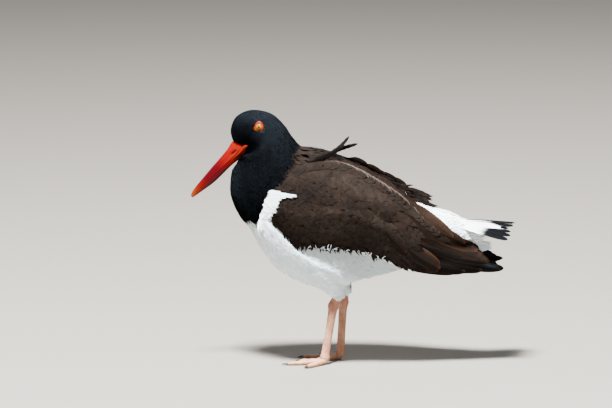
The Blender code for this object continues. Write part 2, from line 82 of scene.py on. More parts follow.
camera = add_to_scene("camera", bpy.data.cameras.new("camera"))
camera.data.lens, camera.data.sensor_width = CAMERA_LENS_MM, CAMERA_SENSOR_MM
camera.data.clip_end = 100.0
towards_camera = Vector((0, -math.cos(CAMERA_LOOKS_DOWN), math.sin(CAMERA_LOOKS_DOWN)))
camera.location = CAMERA_AIM + CAMERA_DISTANCE * towards_camera
camera.rotation_euler = towards_camera.to_track_quat("Z", "Y").to_euler()
bpy.context.scene.camera = camera

for name, place, size, watts in LIGHTS:
    light = bpy.data.lights.new(name, "AREA")
    light.energy, light.size = watts, size
    lamp = add_to_scene(name, light)
    lamp.location = place
    lamp.rotation_euler = (Vector(place) - CAMERA_AIM).to_track_quat("Z", "Y").to_euler()

sky = bpy.data.worlds.new("pale_sky")
sky.use_nodes = True
background = sky.node_tree.nodes["Background"]
background.inputs["Color"].default_value = SKY_COLOUR
background.inputs["Strength"].default_value = SKY_STRENGTH
bpy.context.scene.world = sky

floor_mesh = bpy.data.meshes.new("floor")
floor_mesh.from_pydata([(x * FLOOR_HALF_SIZE, y * FLOOR_HALF_SIZE, 0)
                        for x, y in ((-1, -1), (1, -1), (1, 1), (-1, 1))], [], [(0, 1, 2, 3)])
floor_mesh.materials.append(plain_material("pale_floor", FLOOR_COLOUR, 0.9))
add_to_scene("floor", floor_mesh)


# Skin: one closed hide over the head, neck, trunk, legs' tops and folded wings, so that nothing
# is bare where feathers part. It lies under the coat by the coat's depth and has its markings.
BODY_STATIONS = np.array([
    # upper x, z        lower x, z        half width, depth of the coat
    (-138.5, 257.0, -124.5, 240.0, 7.0, 1.4),  # base of the bill
    (-141.0, 269.5, -124.0, 239.3, 11.5, 1.6),  # forehead
    (-136.0, 283.5, -123.4, 238.6, 14.8, 1.8),
    (-123.5, 291.6, -123.0, 238.0, 16.8, 2.0),  # crown
    (-109.0, 292.6, -123.2, 237.2, 18.2, 2.2),
    (-92.8, 287.6, -124.5, 236.0, 19.5, 2.6),  # back of the head
    (-79.6, 275.2, -130.0, 233.5, 21.0, 3.0),
    (-70.6, 261.6, -137.6, 229.0, 24.0, 3.4),  # foot of the nape
    (-62.5, 253.0, -141.0, 211.9, 30.0, 3.8),
    (-51.0, 250.5, -140.4, 193.4, 37.0, 4.2),  # front of the breast
    (-37.5, 248.4, -132.5, 173.6, 43.5, 4.5),
    (-21.5, 243.5, -118.0, 153.5, 48.0, 4.8),
    (-6.5, 235.5, -104.5, 130.0, 50.5, 5.0),  # breast
    (7.5, 225.7, -86.0, 108.0, 51.0, 5.0),
    (21.5, 215.2, -58.5, 93.0, 50.0, 5.0),
    (36.0, 205.0, -25.0, 87.5, 47.0, 5.0),  # belly
    (56.0, 193.0, 13.5, 98.0, 40.5, 5.0),
    (80.0, 183.5, 59.0, 110.0, 33.0, 5.0),  # rump and vent
    (107.5, 175.3, 103.0, 123.5, 25.0, 4.5),
    (132.0, 165.0, 136.0, 136.5, 17.5, 3.5),
    (147.5, 156.5, 149.5, 146.5, 8.0, 2.5),  # end of the tail coverts
])
LAST_STATION = len(BODY_STATIONS) - 1
SECTION_FULLNESS = 0.88
FACE_CENTRE = (-133.0, 248.0)  # the head narrows towards this point at the base of the bill
FACE_REACH, FACE_NARROWING = 13.0, 0.5
CHIN, CHIN_REACH = (-128.0, 236.0), 5.5  # the chin, which is lifted to close up to the bill
CHIN_LIFT, CHIN_THINNING = 3.4, 0.2
FACE_FORMS = (  # x, z, reach, how far the face stands out there
    (-121.0, 270.0, 6.0, -1.5),  # hollow between the eye and the bill
    (-111.0, 283.5, 6.0, 0.7),  # brow
    (-111.0, 257.0, 9.0, 1.2),  # cheek
)
SKIN_VOXEL, SKIN_SMOOTHING = 1.7, 6


def through_stations(stations, at):
    """Rows read from a smooth curve through evenly numbered stations: each stretch is the
    Catmull-Rom cubic of the two stations round it and their neighbours."""
    padded = np.vstack([2 * stations[0] - stations[1], stations, 2 * stations[-1] - stations[-2]])
    i = np.clip(np.floor(at).astype(int), 0, len(stations) - 2)
    f = (at - i)[..., None]
    a, b, c, d = (padded[i + k] for k in range(4))
    return 0.5 * (
        2 * b + (c - a) * f + (2 * a - 5 * b + 4 * c - d) * f**2 + (3 * b - a - 3 * c + d) * f**3
    )


def bump_at(x, z, middle_x, middle_z, reach):
    """A round bump over the side view: the bell curve of the distance, 1 in the middle."""
    return np.exp(-((x - middle_x) ** 2 + (z - middle_z) ** 2) / (2 * reach**2))


def body(at, turn, deeper=0.0):
    """Points of the plumage's outline: at is a station number and turn the angle round its
    section from the upper edge. The section is a squared ellipse between the upper and lower
    edge, narrowed and shaped on the face, and deeper moves it in by that share of the coat."""
    at, turn = np.broadcast_arrays(np.asarray(at, float), np.asarray(turn, float))
    ux, uz, lx, lz, half, coat = np.moveaxis(through_stations(BODY_STATIONS, at), -1, 0)
    share = (1 - np.cos(turn)) / 2
    length = np.hypot(lx - ux, lz - uz)
    x, z = ux + share * (lx - ux), uz + share * (lz - uz)
    at_chin = bump_at(x, z, *CHIN, CHIN_REACH)
    coat = coat * (1 - CHIN_THINNING * at_chin)
    inset = deeper * coat * np.cos(turn) / length
    x = x + inset * (lx - ux) - 0.5 * CHIN_LIFT * at_chin
    z = z + inset * (lz - uz) + CHIN_LIFT * at_chin
    out = np.abs(np.sin(turn)) ** SECTION_FULLNESS
    y = half * (1 - FACE_NARROWING * bump_at(x, z, *FACE_CENTRE, FACE_REACH)) * out
    for form_x, form_z, reach, amount in FACE_FORMS:
        y += amount * out * bump_at(x, z, form_x, form_z, reach)
    y = np.maximum(y - deeper * coat * out, 0.0) * np.sign(np.sin(turn))
    return np.stack([x, y, z], axis=-1)


def grid_faces(rows, columns, closed=False):
    """Quads of a grid of points in rows; closed also joins the last column to the first."""
    i, k = np.meshgrid(np.arange(rows - 1), np.arange(columns - (not closed)), indexing="ij")
    after = (k + 1) % columns
    quads = np.stack([i * columns + k, i * columns + after, (i + 1) * columns + after,
                      (i + 1) * columns + k], axis=-1)
    return quads.reshape(-1, 4)


def surface(name, points, quads, material=None, triangles=(), uv_maps=(), **attributes):
    """An object made from points in millimetres, quads and triangles. uv_maps are (name, u and v
    for each point), and each further attribute is a colour for each point."""
    points = np.asarray(points, np.float32).reshape(-1, 3)
    quads, triangles = np.asarray(quads, np.int32), np.asarray(triangles, np.int32).reshape(-1, 3)
    corners = np.concatenate([quads.ravel(), triangles.ravel()])
    sizes = np.concatenate([np.full(len(quads), 4), np.full(len(triangles), 3)])
    mesh = bpy.data.meshes.new(name)
    mesh.vertices.add(len(points))
    mesh.vertices.foreach_set("co", (points * MM).ravel())
    mesh.loops.add(len(corners))
    mesh.loops.foreach_set("vertex_index", corners)
    mesh.polygons.add(len(sizes))
    mesh.polygons.foreach_set("loop_start", (np.cumsum(sizes) - sizes).astype(np.int32))
    mesh.update(calc_edges=True)
    mesh.validate()
    for uv_name, uv in uv_maps:
        layer = mesh.uv_layers.new(name=uv_name)
        layer.data.foreach_set("uv", np.asarray(uv, np.float32).reshape(-1, 2)[corners].ravel())
    for attribute, colour in attributes.items():
        rgba = np.ones((len(points), 4), np.float32)
        rgba[:, :3] = np.asarray(colour).reshape(-1, 3)
        mesh.attributes.new(attribute, "FLOAT_COLOR", "POINT").data.foreach_set("color", rgba.ravel())
    mesh.shade_smooth()
    if material:
        mesh.materials.append(material)
    return add_to_scene(name, mesh)


def fit(piece, slot, *nodes):
    """Fixes a piece to the still bird and hides the solids it stands for; slot, the slot of its finish, is
    not used.
    """
    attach(piece, "root")
    if nodes:
        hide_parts(*nodes)


def closed_tube(rings):
    """Points and faces of a closed body through rings of points: quads between the rings and a
    fan of triangles to the middle of each end ring."""
    rings = np.asarray(rings, float)
    count, sides = rings.shape[:2]
    points = np.concatenate([rings.reshape(-1, 3), rings[[0, -1]].mean(axis=1)])
    k = np.arange(sides)
    after = (k + 1) % sides
    first = np.stack([np.full(sides, count * sides), after, k], axis=-1)
    base = (count - 1) * sides
    last = np.stack([np.full(sides, count * sides + 1), base + k, base + after], axis=-1)
    return points, grid_faces(count, sides, closed=True), np.concatenate([first, last])


def join_tubes(tubes):
    """Points, quads and triangles of several closed tubes put together."""
    starts = np.cumsum([0] + [len(points) for points, _, _ in tubes])
    return (np.concatenate([points for points, _, _ in tubes]),
            np.concatenate([quads + start for (_, quads, _), start in zip(tubes, starts)]),
            np.concatenate([triangles + start for (_, _, triangles), start in zip(tubes, starts)]))


def smooth_line(points, x):
    """Values at x of a smooth line through (x, value) points: cubic steps whose slopes at the
    points are those of their neighbours."""
    points, x = np.asarray(points, float), np.asarray(x, float)
    slopes = np.gradient(points[:, 1], points[:, 0])
    i = np.clip(np.searchsorted(points[:, 0], x) - 1, 0, len(points) - 2)
    width = points[i + 1, 0] - points[i, 0]
    f = np.clip((x - points[i, 0]) / width, 0, 1)
    rise = f * f * (3 - 2 * f)
    return (points[i, 1] * (1 - rise) + points[i + 1, 1] * rise
            + width * (slopes[i] * f * (1 - f) ** 2 - slopes[i + 1] * f * f * (1 - f)))


# The plumage's colours, and where black gives way to brown or white on the body. The edge is a
# station number for each share of the way from the upper to the lower outline.
BLACK = np.array((0.0014, 0.0018, 0.0024))
CROWN_PAINTED_SHEEN = 2.9  # how much lighter the black is painted on the front of the head, as painted sheen
CROWN_LOW = 0.62  # the share of the way down the head where that ends
BIB_FRONT_SHEEN, BIB_SIDE_SHADE = 0.9, 0.55  # how much lighter the bib's front is painted, as sheen, and darker its sides, as shade
WHITE = np.array((0.88, 0.89, 0.905))
BROWN = np.array((0.0074, 0.0051, 0.0041))
DARK_BROWN = np.array((0.0050, 0.0031, 0.0022))
# A sooty dark brown of the plumage, also used as painted shade in the hollow between the wings.
SOOT_AND_SHADE = np.array((0.0020, 0.0014, 0.0012))
RUFOUS = np.array((0.050, 0.020, 0.009))
PALE_FRINGE = np.array((0.120, 0.093, 0.076))
HOOD_EDGE = ((0.0, 7.5), (0.08, 7.9), (0.24, 8.7), (0.38, 9.35), (0.58, 9.85), (0.64, 10.0),
             (0.70, 10.35), (0.82, 10.5), (0.90, 10.7), (1.0, 10.35))
MANTLE_LOWER_EDGE = ((7.0, 0.50), (9.8, 0.575), (10.4, 0.55), (11.2, 0.5), (20.0, 0.5))
RUMP_STATION = 16.45  # the brown back ends and the white rump begins
SHADED_HOLLOW_STATION = 10.1  # the back is painted darker from here, as shade in the hollow between the wings
UNDER_BLACK_SHADED = BLACK * 0.6  # the skin under the black plumage, painted darker as the shade deep in the coat


def markings(at, turn, waver=0.0):
    """Whether places of the body's loft are in the black hood, before its edge, and in the brown
    mantle, above its edge and ahead of the rump. waver shifts the edges, in station numbers."""
    share = (1 - np.cos(turn)) / 2
    hood = at < smooth_line(HOOD_EDGE, share) + waver
    mantle = (share < smooth_line(MANTLE_LOWER_EDGE, at) + 0.05 * waver) & (at < RUMP_STATION + waver)
    return hood, mantle & ~hood


def plumage(at, turn, waver=0.0):
    """The body's colour at places of its loft: black on the hood, with painted sheen on the crown and
    down the front of the bib and painted shade on its sides, brown on the mantle, darkened by
    painted shade to soot in the hollow between the wings, and white elsewhere."""
    hood, mantle = markings(at, turn, waver)
    share = (1 - np.cos(turn)) / 2
    # Painted sheen lightens the black on the crown and down the bib's front; painted shade darkens the bib's
    # sides.
    sheen_and_shade = 1 + CROWN_PAINTED_SHEEN * np.clip((7.2 - at) / 3.0, 0, 1) * np.clip((CROWN_LOW - share) * 4, 0, 1)
    front = np.clip((share - 0.80) * 6, 0, 1)
    bib = np.clip((at - 5.4) / 1.2, 0, 1) * np.clip((share - 0.25) * 6, 0, 1)
    sheen_and_shade = sheen_and_shade * (1 + bib * (BIB_FRONT_SHEEN * front - BIB_SIDE_SHADE * (1 - front)))
    # Painted shade: the mantle darkens to soot in the hollow between the wings.
    hollow = np.clip((at - SHADED_HOLLOW_STATION) / 0.9, 0, 1)
    colour = np.where(mantle[..., None], BROWN + (SOOT_AND_SHADE - BROWN) * hollow[..., None], WHITE)
    return np.where(hood[..., None], BLACK * sheen_and_shade[..., None], colour)


# Folded wing: its upper and lower edges in the side view, and how far out its surface stands.
WING_TOP = (
    (-90.0, 196.0), (-81.0, 217.5), (-70.0, 229.0), (-56.0, 235.0), (-38.0, 237.5),
    (-20.0, 237.0), (-4.0, 232.5), (13.0, 224.0), (30.0, 213.5), (48.0, 201.5), (65.0, 186.5),
    (82.0, 170.5), (99.0, 156.0), (113.0, 145.5), (128.0, 139.0), (143.0, 134.5),
    (150.5, 128.0), (155.0, 121.5), (165.0, 116.5), (172.5, 111.8),
)
WING_BOTTOM = (
    (-90.0, 180.0), (-79.0, 153.0), (-65.0, 140.0), (-50.0, 136.5), (-33.0, 135.0),
    (-15.0, 134.0), (7.0, 131.5), (30.0, 123.5), (50.0, 115.5), (65.0, 110.5), (94.0, 109.5),
    (117.0, 108.0), (134.0, 107.8), (150.0, 109.5), (172.5, 110.8),
)
WING_OUT = ((-90, 44), (-60, 51), (-20, 56), (25, 54), (60, 47), (100, 37), (140, 28), (173, 20))
WING_OVER_BODY = 4.0
WING_CORE_FACES = (-3.2, -12.0)  # how deep the outer and inner face of the skin's wing lie
WING_CORE_END = 62.0
WING_BULGE = ((0, 0.45), (0.25, 0.86), (0.55, 1.0), (1, 0.90))  # share of the height, share out
RIGHT_WING_LIFT = ((-90, 0), (0, 1), (30, 3), (62, 7), (100, 3), (140, 3), (173, 8))
MAP_X, MAP_Z = np.arange(-140.0, 192.0, 2.0), np.arange(74.0, 262.0, 2.0)


def crossing_section(x, z, first=0, samples=240):
    """For points of the side view: the number of the section that crosses each one, its share of
    the way down that section, and whether one does. Sections cross a point where the point lies
    on different sides of two neighbouring ones."""
    at = np.linspace(first, LAST_STATION, samples)
    ux, uz, lx, lz = through_stations(BODY_STATIONS, at).astype(np.float32).T[:4]
    x, z = x.ravel().astype(np.float32)[:, None], z.ravel().astype(np.float32)[:, None]
    side = (ux - lx) * (z - lz) - (uz - lz) * (x - lx)
    share = ((ux - x) * (ux - lx) + (uz - z) * (uz - lz)) / ((ux - lx) ** 2 + (uz - lz) ** 2)
    crossed = (side[:, :-1] * side[:, 1:] <= 0) & (share[:, 1:] > -0.1) & (share[:, 1:] < 1.1)
    i = np.argmax(crossed, axis=1)
    return at[i], np.clip(share[np.arange(len(i)), i], 0, 1), crossed.any(axis=1)


def body_half_width(x, z):
    """The body's half width at points of its side view, 0 outside its outline: the squared
    ellipse of the section that crosses the point."""
    at, share, found = crossing_section(x, z, first=5)
    half = through_stations(BODY_STATIONS, at)[:, 4]
    return np.where(found, half * (2 * np.sqrt(share * (1 - share))) ** SECTION_FULLNESS, 0)


def wing_surface_map():
    """How far out the wing's surface stands, on a grid over the side view: the wing's own bulge
    or a little more than the body's half width, whichever is more, then averaged with the
    neighbouring grid points."""
    x, z = np.meshgrid(MAP_X, MAP_Z, indexing="ij")
    high, low = smooth_line(WING_TOP, x), smooth_line(WING_BOTTOM, x)
    share = np.clip((high - z) / np.maximum(high - low, 6), 0, 1)
    own = smooth_line(WING_OUT, x) * np.interp(share, *np.transpose(WING_BULGE))
    over = body_half_width(x, z).reshape(x.shape) + WING_OVER_BODY
    out = np.maximum(own, over)
    for _ in range(3):
        out[1:-1] = (out[:-2] + 2 * out[1:-1] + out[2:]) / 4
        out[:, 1:-1] = (out[:, :-2] + 2 * out[:, 1:-1] + out[:, 2:]) / 4
    return out


WING_SURFACE = wing_surface_map()


def read_map(values, x, z):
    """Values of a map at places of the side view, mixed evenly between its four nearest points."""
    fx = np.clip((x - MAP_X[0]) / 2.0, 0, len(MAP_X) - 1.001)
    fz = np.clip((z - MAP_Z[0]) / 2.0, 0, len(MAP_Z) - 1.001)
    i, k = fx.astype(int), fz.astype(int)
    fx, fz = fx - i, fz - k
    return (values[i, k] * (1 - fx) * (1 - fz) + values[i + 1, k] * fx * (1 - fz)
            + values[i, k + 1] * (1 - fx) * fz + values[i + 1, k + 1] * fx * fz)


def on_wing(x, z, height, side):
    """Points on the wing's surface over places of the side view: the surface map's reach out, plus
    the height, with the right wing lifted."""
    out = read_map(WING_SURFACE, x, z)
    lift = smooth_line(RIGHT_WING_LIFT, x) * (side == RIGHT)
    return np.stack([x, side * (out + height), z + lift], axis=-1)


THIGHS = {  # hip, cuff
    LEFT: ((-38.0, -21.0, 122.0), (-17.6, -19.0, 82.0)),
    RIGHT: ((-32.0, 21.0, 122.0), (-9.2, 17.0, 82.0)),
}
THIGH_RADII = np.array([(27, 20), (25, 18.5), (20, 15), (13, 11), (8.2, 7.4)])  # front to back, across


def thigh(at, turn, side, deeper=0.0):
    """Points of a thigh: ellipses along the line from the hip (at 0) to the cuff (at 1)."""
    hip, cuff = (np.array(p) for p in THIGHS[side])
    axis = (cuff - hip) / np.linalg.norm(cuff - hip)
    across = np.array((0, 1.0, 0)) - axis[1] * axis
    across /= np.linalg.norm(across)
    front = np.cross(across, axis)
    at, turn = np.broadcast_arrays(np.asarray(at, float), np.asarray(turn, float))
    radii = through_stations(THIGH_RADII, at * (len(THIGH_RADII) - 1)) - deeper
    return (hip + at[..., None] * (cuff - hip) + (radii[..., :1] * np.cos(turn)[..., None]) * front
            + (radii[..., 1:] * np.sin(turn)[..., None]) * across)


def make_skin():
    """The body, both thighs and both wing cores as closed shells, fused by a voxel remesh and
    smoothed."""
    ring = np.linspace(0, 2 * math.pi, 72, endpoint=False)
    shells = [closed_tube(body(np.linspace(0, LAST_STATION, 110)[:, None], ring, 1.0))]
    for side in (LEFT, RIGHT):
        shells.append(closed_tube(thigh(np.linspace(0, 0.97, 12)[:, None], ring[::3], side, 2.0)))
        x = np.linspace(WING_TOP[0][0] + 3, WING_CORE_END, 60)[:, None]
        share = np.linspace(0.03, 0.97, 30)
        z = smooth_line(WING_TOP, x) + share * (smooth_line(WING_BOTTOM, x) - smooth_line(WING_TOP, x))
        x = np.broadcast_to(x, z.shape)
        outer, inner = (on_wing(x, z, depth, side) for depth in WING_CORE_FACES)
        shells.append(closed_tube(np.concatenate([outer, inner[:, ::-1]], axis=1)))
    points, quads, triangles = join_tubes(shells)
    rough = surface("rough_skin", points, quads, triangles=triangles)
    fuse = rough.modifiers.new("fuse", "REMESH")
    fuse.mode, fuse.voxel_size = "VOXEL", SKIN_VOXEL * MM
    smooth = rough.modifiers.new("smooth", "SMOOTH")
    smooth.factor, smooth.iterations = 0.5, SKIN_SMOOTHING
    mesh = bpy.data.meshes.new_from_object(rough.evaluated_get(bpy.context.evaluated_depsgraph_get()))
    bpy.data.objects.remove(rough)
    mesh.name = "skin"
    return add_to_scene("skin", mesh)


SPECKLE_SCALE, GRAIN_DEPTH = 260.0, 0.0004


def add_node(material, kind, inputs=None, **settings):
    """A shader node with its settings. inputs are values, or the sockets that feed them."""
    node = material.node_tree.nodes.new("ShaderNode" + kind)
    for setting, value in settings.items():
        setattr(node, setting, value)
    for name, value in (inputs or {}).items():
        if isinstance(value, bpy.types.NodeSocket):
            material.node_tree.links.new(value, node.inputs[name])
        else:
            node.inputs[name].default_value = value
    return node


def emboss(material, height, strength, depth):
    """Bump from a height socket on the material's shader."""
    relief = add_node(material, "Bump", {"Height": height, "Strength": strength, "Distance": depth})
    shader = material.node_tree.nodes["Principled BSDF"]
    material.node_tree.links.new(relief.outputs["Normal"], shader.inputs["Normal"])


def attribute_material(name, attribute, roughness, bump=None, speckle=0.0, **sockets):
    """A Principled material whose colour is a mesh attribute, lightly speckled by noise. bump is
    (scale, strength) of a fine grain."""
    material = plain_material(name, (1, 1, 1), roughness, **sockets)
    colour = add_node(material, "Attribute", attribute_name=attribute).outputs["Color"]
    place = add_node(material, "TexCoord").outputs["Object"]
    if speckle:
        grain = add_node(material, "TexNoise", {"Scale": SPECKLE_SCALE, "Detail": 3.0, "Vector": place})
        spread = add_node(material, "MapRange", {
            "From Min": 0.3, "From Max": 0.7, "To Min": 1 - speckle, "To Max": 1 + speckle,
            "Value": grain.outputs["Fac"]})
        scaled = add_node(material, "VectorMath", {0: colour, "Scale": spread.outputs["Result"]},
                          operation="SCALE")
        colour = scaled.outputs["Vector"]
    material.node_tree.links.new(
        colour, material.node_tree.nodes["Principled BSDF"].inputs["Base Color"])
    if bump:
        grain = add_node(material, "TexNoise", {"Scale": bump[0], "Vector": place})
        emboss(material, grain.outputs["Fac"], bump[1], GRAIN_DEPTH)
    return material


skin = make_skin()
skin_points = np.empty(len(skin.data.vertices) * 3, np.float32)
skin.data.vertices.foreach_get("co", skin_points)
skin_points = skin_points.reshape(-1, 3) / MM
skin_at, skin_share, on_body = crossing_section(skin_points[:, 0], skin_points[:, 2])
skin_colour = plumage(skin_at, np.arccos(1 - 2 * skin_share))
skin_hood, _ = markings(skin_at, np.arccos(1 - 2 * skin_share))
# Painted shade: the skin under the black is darker than the black plumage.
skin_colour[skin_hood] = UNDER_BLACK_SHADED
skin_colour[~on_body] = np.where((skin_points[~on_body, :1] < -100), UNDER_BLACK_SHADED, WHITE)
wing_core = (skin_points[:, 2] > smooth_line(WING_BOTTOM, skin_points[:, 0]) + 4) & (
    skin_points[:, 2] < smooth_line(WING_TOP, skin_points[:, 0]) + 3) & (
    np.abs(skin_points[:, 1]) > 20) & (skin_points[:, 0] > -82) & (skin_points[:, 0] < 66)
skin_colour[wing_core] = DARK_BROWN
skin_rgba = np.ones((len(skin_colour), 4), np.float32)
skin_rgba[:, :3] = skin_colour
skin.data.attributes.new("plumage", "FLOAT_COLOR", "POINT").data.foreach_set("color", skin_rgba.ravel())
skin.data.shade_smooth()
skin.data.materials.clear()
skin.data.materials.append(attribute_material("down_on_skin", "plumage", 0.9, bump=(900, 0.5),
                                              Specular_IOR_Level=0.02))
fit(skin, "black_plumage", "head", "neck", "breast", "trunk", "tail_coverts",
    *(f"{part}_{WORD[side]}" for part in ("thigh", "wing") for side in (LEFT, RIGHT)))


# Eyes: a wet golden iris with a small black pupil and a darker rim, in a raised ring of bare
# orange-red skin that is drawn out to a point above and towards the bill.
EYE_CENTRE = (-107.8, 13.6, 275.4)
EYE_FORWARD = math.radians(9.0)
EYE_RADIUS = 5.4
PUPIL_RADIUS, IRIS_RADIUS = 1.3, 3.9
PUPIL_BLACK, IRIS_RIM = np.array((0.002, 0.002, 0.002)), np.array((0.10, 0.02, 0.01))
IRIS_GOLDEN, IRIS_ORANGE = np.array((0.20, 0.080, 0.0)), np.array((0.17, 0.036, 0.0))
RING_INNER, RING_BEAD, RING_SLOPE = 3.7, 0.75, 0.30
RING_OUTLINE = (  # turn from straight back, reach
    (0, 5.4), (12, 5.4), (58, 5.9), (94, 6.8), (119, 6.1), (152, 6.0), (180, 6.8), (199, 8.0),
    (223, 7.0), (250, 5.8), (280, 5.4), (320, 5.4), (360, 5.4),
)
# The ring's red is painted on its top as the brow's shade; its orange is mixed in below and towards the eye.
RING_RED = np.array((0.085, 0.0030, 0.0))
RING_ORANGE = np.array((0.17, 0.0230, 0.0))
RING_SEAT = 3.35


def facing_out(tube):
    """The tube with its faces turned so that its volume is positive."""
    points, quads, triangles = tube
    a, b, c, d = (points[quads[:, k]] for k in range(4))
    volume = np.einsum("ij,ij->", a, np.cross(b, c)) + np.einsum("ij,ij->", a, np.cross(c, d))
    return (points, quads, triangles) if volume > 0 else (points, quads[:, ::-1], triangles[:, ::-1])


def tube_piece(name, tubes, finish, attribute):
    """One object of closed tubes, faces outwards, from (rings of points, their colours) for each.
    The middle of an end takes the mean colour of its ring."""
    points, quads, triangles = join_tubes([facing_out(closed_tube(rings)) for rings, _ in tubes])
    colours = [np.concatenate([c.reshape(-1, 3), c[[0, -1]].mean(axis=1)]) for _, c in tubes]
    return surface(name, points, quads, finish, triangles, **{attribute: np.concatenate(colours)})


def eye_frame(side):
    """The eye's centre and its axes: out of the head, forward along the face, and up."""
    x, y, z = EYE_CENTRE
    out = np.array((-math.sin(EYE_FORWARD), side * math.cos(EYE_FORWARD), 0.0))
    ahead = np.array((-math.cos(EYE_FORWARD), -side * math.sin(EYE_FORWARD), 0.0))
    return np.array((x, side * y, z)), out, ahead, np.array((0.0, 0.0, 1.0))


def ring_reach(turn):
    """Outer radius of the eye ring at a turn from straight back, read along its outline."""
    return smooth_line(RING_OUTLINE, np.degrees(turn) % 360)


def make_eye(side):
    """An eyeball as rings round its axis, slightly more domed in front, coloured by the distance
    from the axis."""
    centre, out, ahead, up = eye_frame(side)
    polar = np.linspace(0.02, math.pi - 0.02, 40)[:, None]
    turn = np.linspace(0, 2 * math.pi, 48, endpoint=False)
    reach = EYE_RADIUS * np.sin(polar)
    dome = EYE_RADIUS * np.cos(polar) + 0.5 * np.exp(-(polar / 0.5) ** 2)
    points = (centre + dome[..., None] * out + (reach * np.cos(turn))[..., None] * ahead
              + (reach * np.sin(turn))[..., None] * up)
    across = np.broadcast_to(reach, points.shape[:2])
    streak = 0.5 + 0.5 * np.sin(turn * 23) * np.sin(turn * 9 + 1)
    share = np.clip((across - PUPIL_RADIUS) / (IRIS_RADIUS - PUPIL_RADIUS), 0, 1)[..., None]
    colour = IRIS_GOLDEN + (IRIS_ORANGE - IRIS_GOLDEN) * share**1.6
    colour = colour * (0.86 + 0.22 * streak[None, :, None])
    colour = np.where((across > IRIS_RADIUS)[..., None], IRIS_RIM, colour)
    colour = np.where((across < PUPIL_RADIUS)[..., None], PUPIL_BLACK, colour)
    eye = tube_piece(f"eyeball_{WORD[side]}", [(points, colour)], EYE_FINISH, "iris")
    fit(eye, "eye_iris", f"eye_{WORD[side]}")


def make_eye_ring(side):
    """The ring: round its turn, a low bead that rises from the eye's edge and slopes down to the
    feathers, with fine wrinkles across it."""
    centre, out, ahead, up = eye_frame(side)
    rows, columns = 120, 18
    turn = np.linspace(0, 2 * math.pi, rows, endpoint=False)[:, None]
    part = np.linspace(0, 2 * math.pi, columns, endpoint=False)
    outer = ring_reach(turn)
    middle, half = (RING_INNER + outer) / 2, (outer - RING_INNER) / 2
    wrinkle = 1 + 0.05 * np.sin(turn * 31 + 2 * np.sin(turn * 5)) * (0.5 + 0.5 * np.cos(part))
    reach = middle + half * np.cos(part)
    height = RING_SEAT + RING_BEAD * wrinkle * np.sin(part) - RING_SLOPE * (reach - RING_INNER)
    points = (centre + height[..., None] * out + (reach * -np.cos(turn))[..., None] * ahead
              + (reach * np.sin(turn))[..., None] * up)
    # Painted shade: the ring is darker red on top under the brow, more orange below, and darker in the
    # wrinkles' creases.
    inside = 0.5 - 0.5 * np.cos(part)
    out_of_brow_shade = 0.5 - 0.5 * np.sin(turn)
    colour = RING_RED + (RING_ORANGE - RING_RED) * (0.35 * inside + 0.55 * out_of_brow_shade)[..., None]
    colour = colour * wrinkle[..., None] ** 3
    quads = grid_faces(rows + 1, columns, closed=True) % (rows * columns)
    ring = surface(f"bare_ring_{WORD[side]}", points, quads[:, ::-side], RING_FINISH, ring=colour)
    fit(ring, "eye_ring_skin", f"eye_ring_{WORD[side]}")


EYE_FINISH = attribute_material("wet_eye", "iris", 0.08, Specular_IOR_Level=0.22)
RING_FINISH = attribute_material("bare_orange_skin", "ring", 0.45, bump=(2500, 0.35),
                                 Specular_IOR_Level=0.12)
for side in (LEFT, RIGHT):
    make_eye(side)
    make_eye_ring(side)


# Bill: two blades of orange-red horn that meet along the line of the mouth, deep and thin, ending
# in a blunt chisel. A slit nostril and two grooves run along its base, and a fleshy gape flange
# joins it to the face on each side.
BILL_BASE = (-131.7, 248.6)
BILL_TILT = math.radians(45.4)
BILL_STATIONS = np.array([
    # distance, upper edge, lower edge, line of the mouth, half width
    (-10.0, 7.6, -8.0, -4.4, 5.2),
    (-5.0, 10.0, -9.2, -4.2, 7.2),
    (1.2, 10.7, -9.9, -4.0, 6.5),
    (10.0, 8.8, -8.9, -3.3, 5.4),
    (21.0, 7.7, -7.7, -3.0, 4.7),
    (36.0, 6.8, -7.7, -2.4, 4.1),
    (50.0, 5.7, -7.1, -1.7, 3.5),
    (63.0, 4.6, -4.9, -1.1, 2.6),
    (73.0, 3.2, -3.2, -0.8, 1.6),
    (78.0, 0.9, -2.0, -0.8, 0.9),
])
BILL_GAP = 0.12
NOSTRIL = (7.0, 1.5, 3.7, 0.72)  # middle distance, height, half length, half height
BILL_COLOURS = (  # distance, colour of the horn there
    (-9.0, (0.115, 0.0028, 0.0)), (6.0, (0.105, 0.0010, 0.0)), (20.0, (0.088, 0.0, 0.0003)),
    (34.0, (0.040, 0.0, 0.0013)), (50.0, (0.037, 0.0, 0.0016)), (62.0, (0.070, 0.0008, 0.0004)),
    (71.0, (0.105, 0.0105, 0.0003)), (78.0, (0.125, 0.025, 0.0006)),
)
# A painted highlight along the raised ridge above the mouth's line.
RIDGE_PAINTED_HIGHLIGHT = np.array((0.068, 0.010, 0.0008))


def bill_place(distance, height, out):
    """A point of the bill from its distance along the axis, height above it and place across."""
    x = BILL_BASE[0] - distance * math.cos(BILL_TILT) - height * math.sin(BILL_TILT)
    z = BILL_BASE[1] - distance * math.sin(BILL_TILT) + height * math.cos(BILL_TILT)
    return np.stack(np.broadcast_arrays(x, out, z), axis=-1)


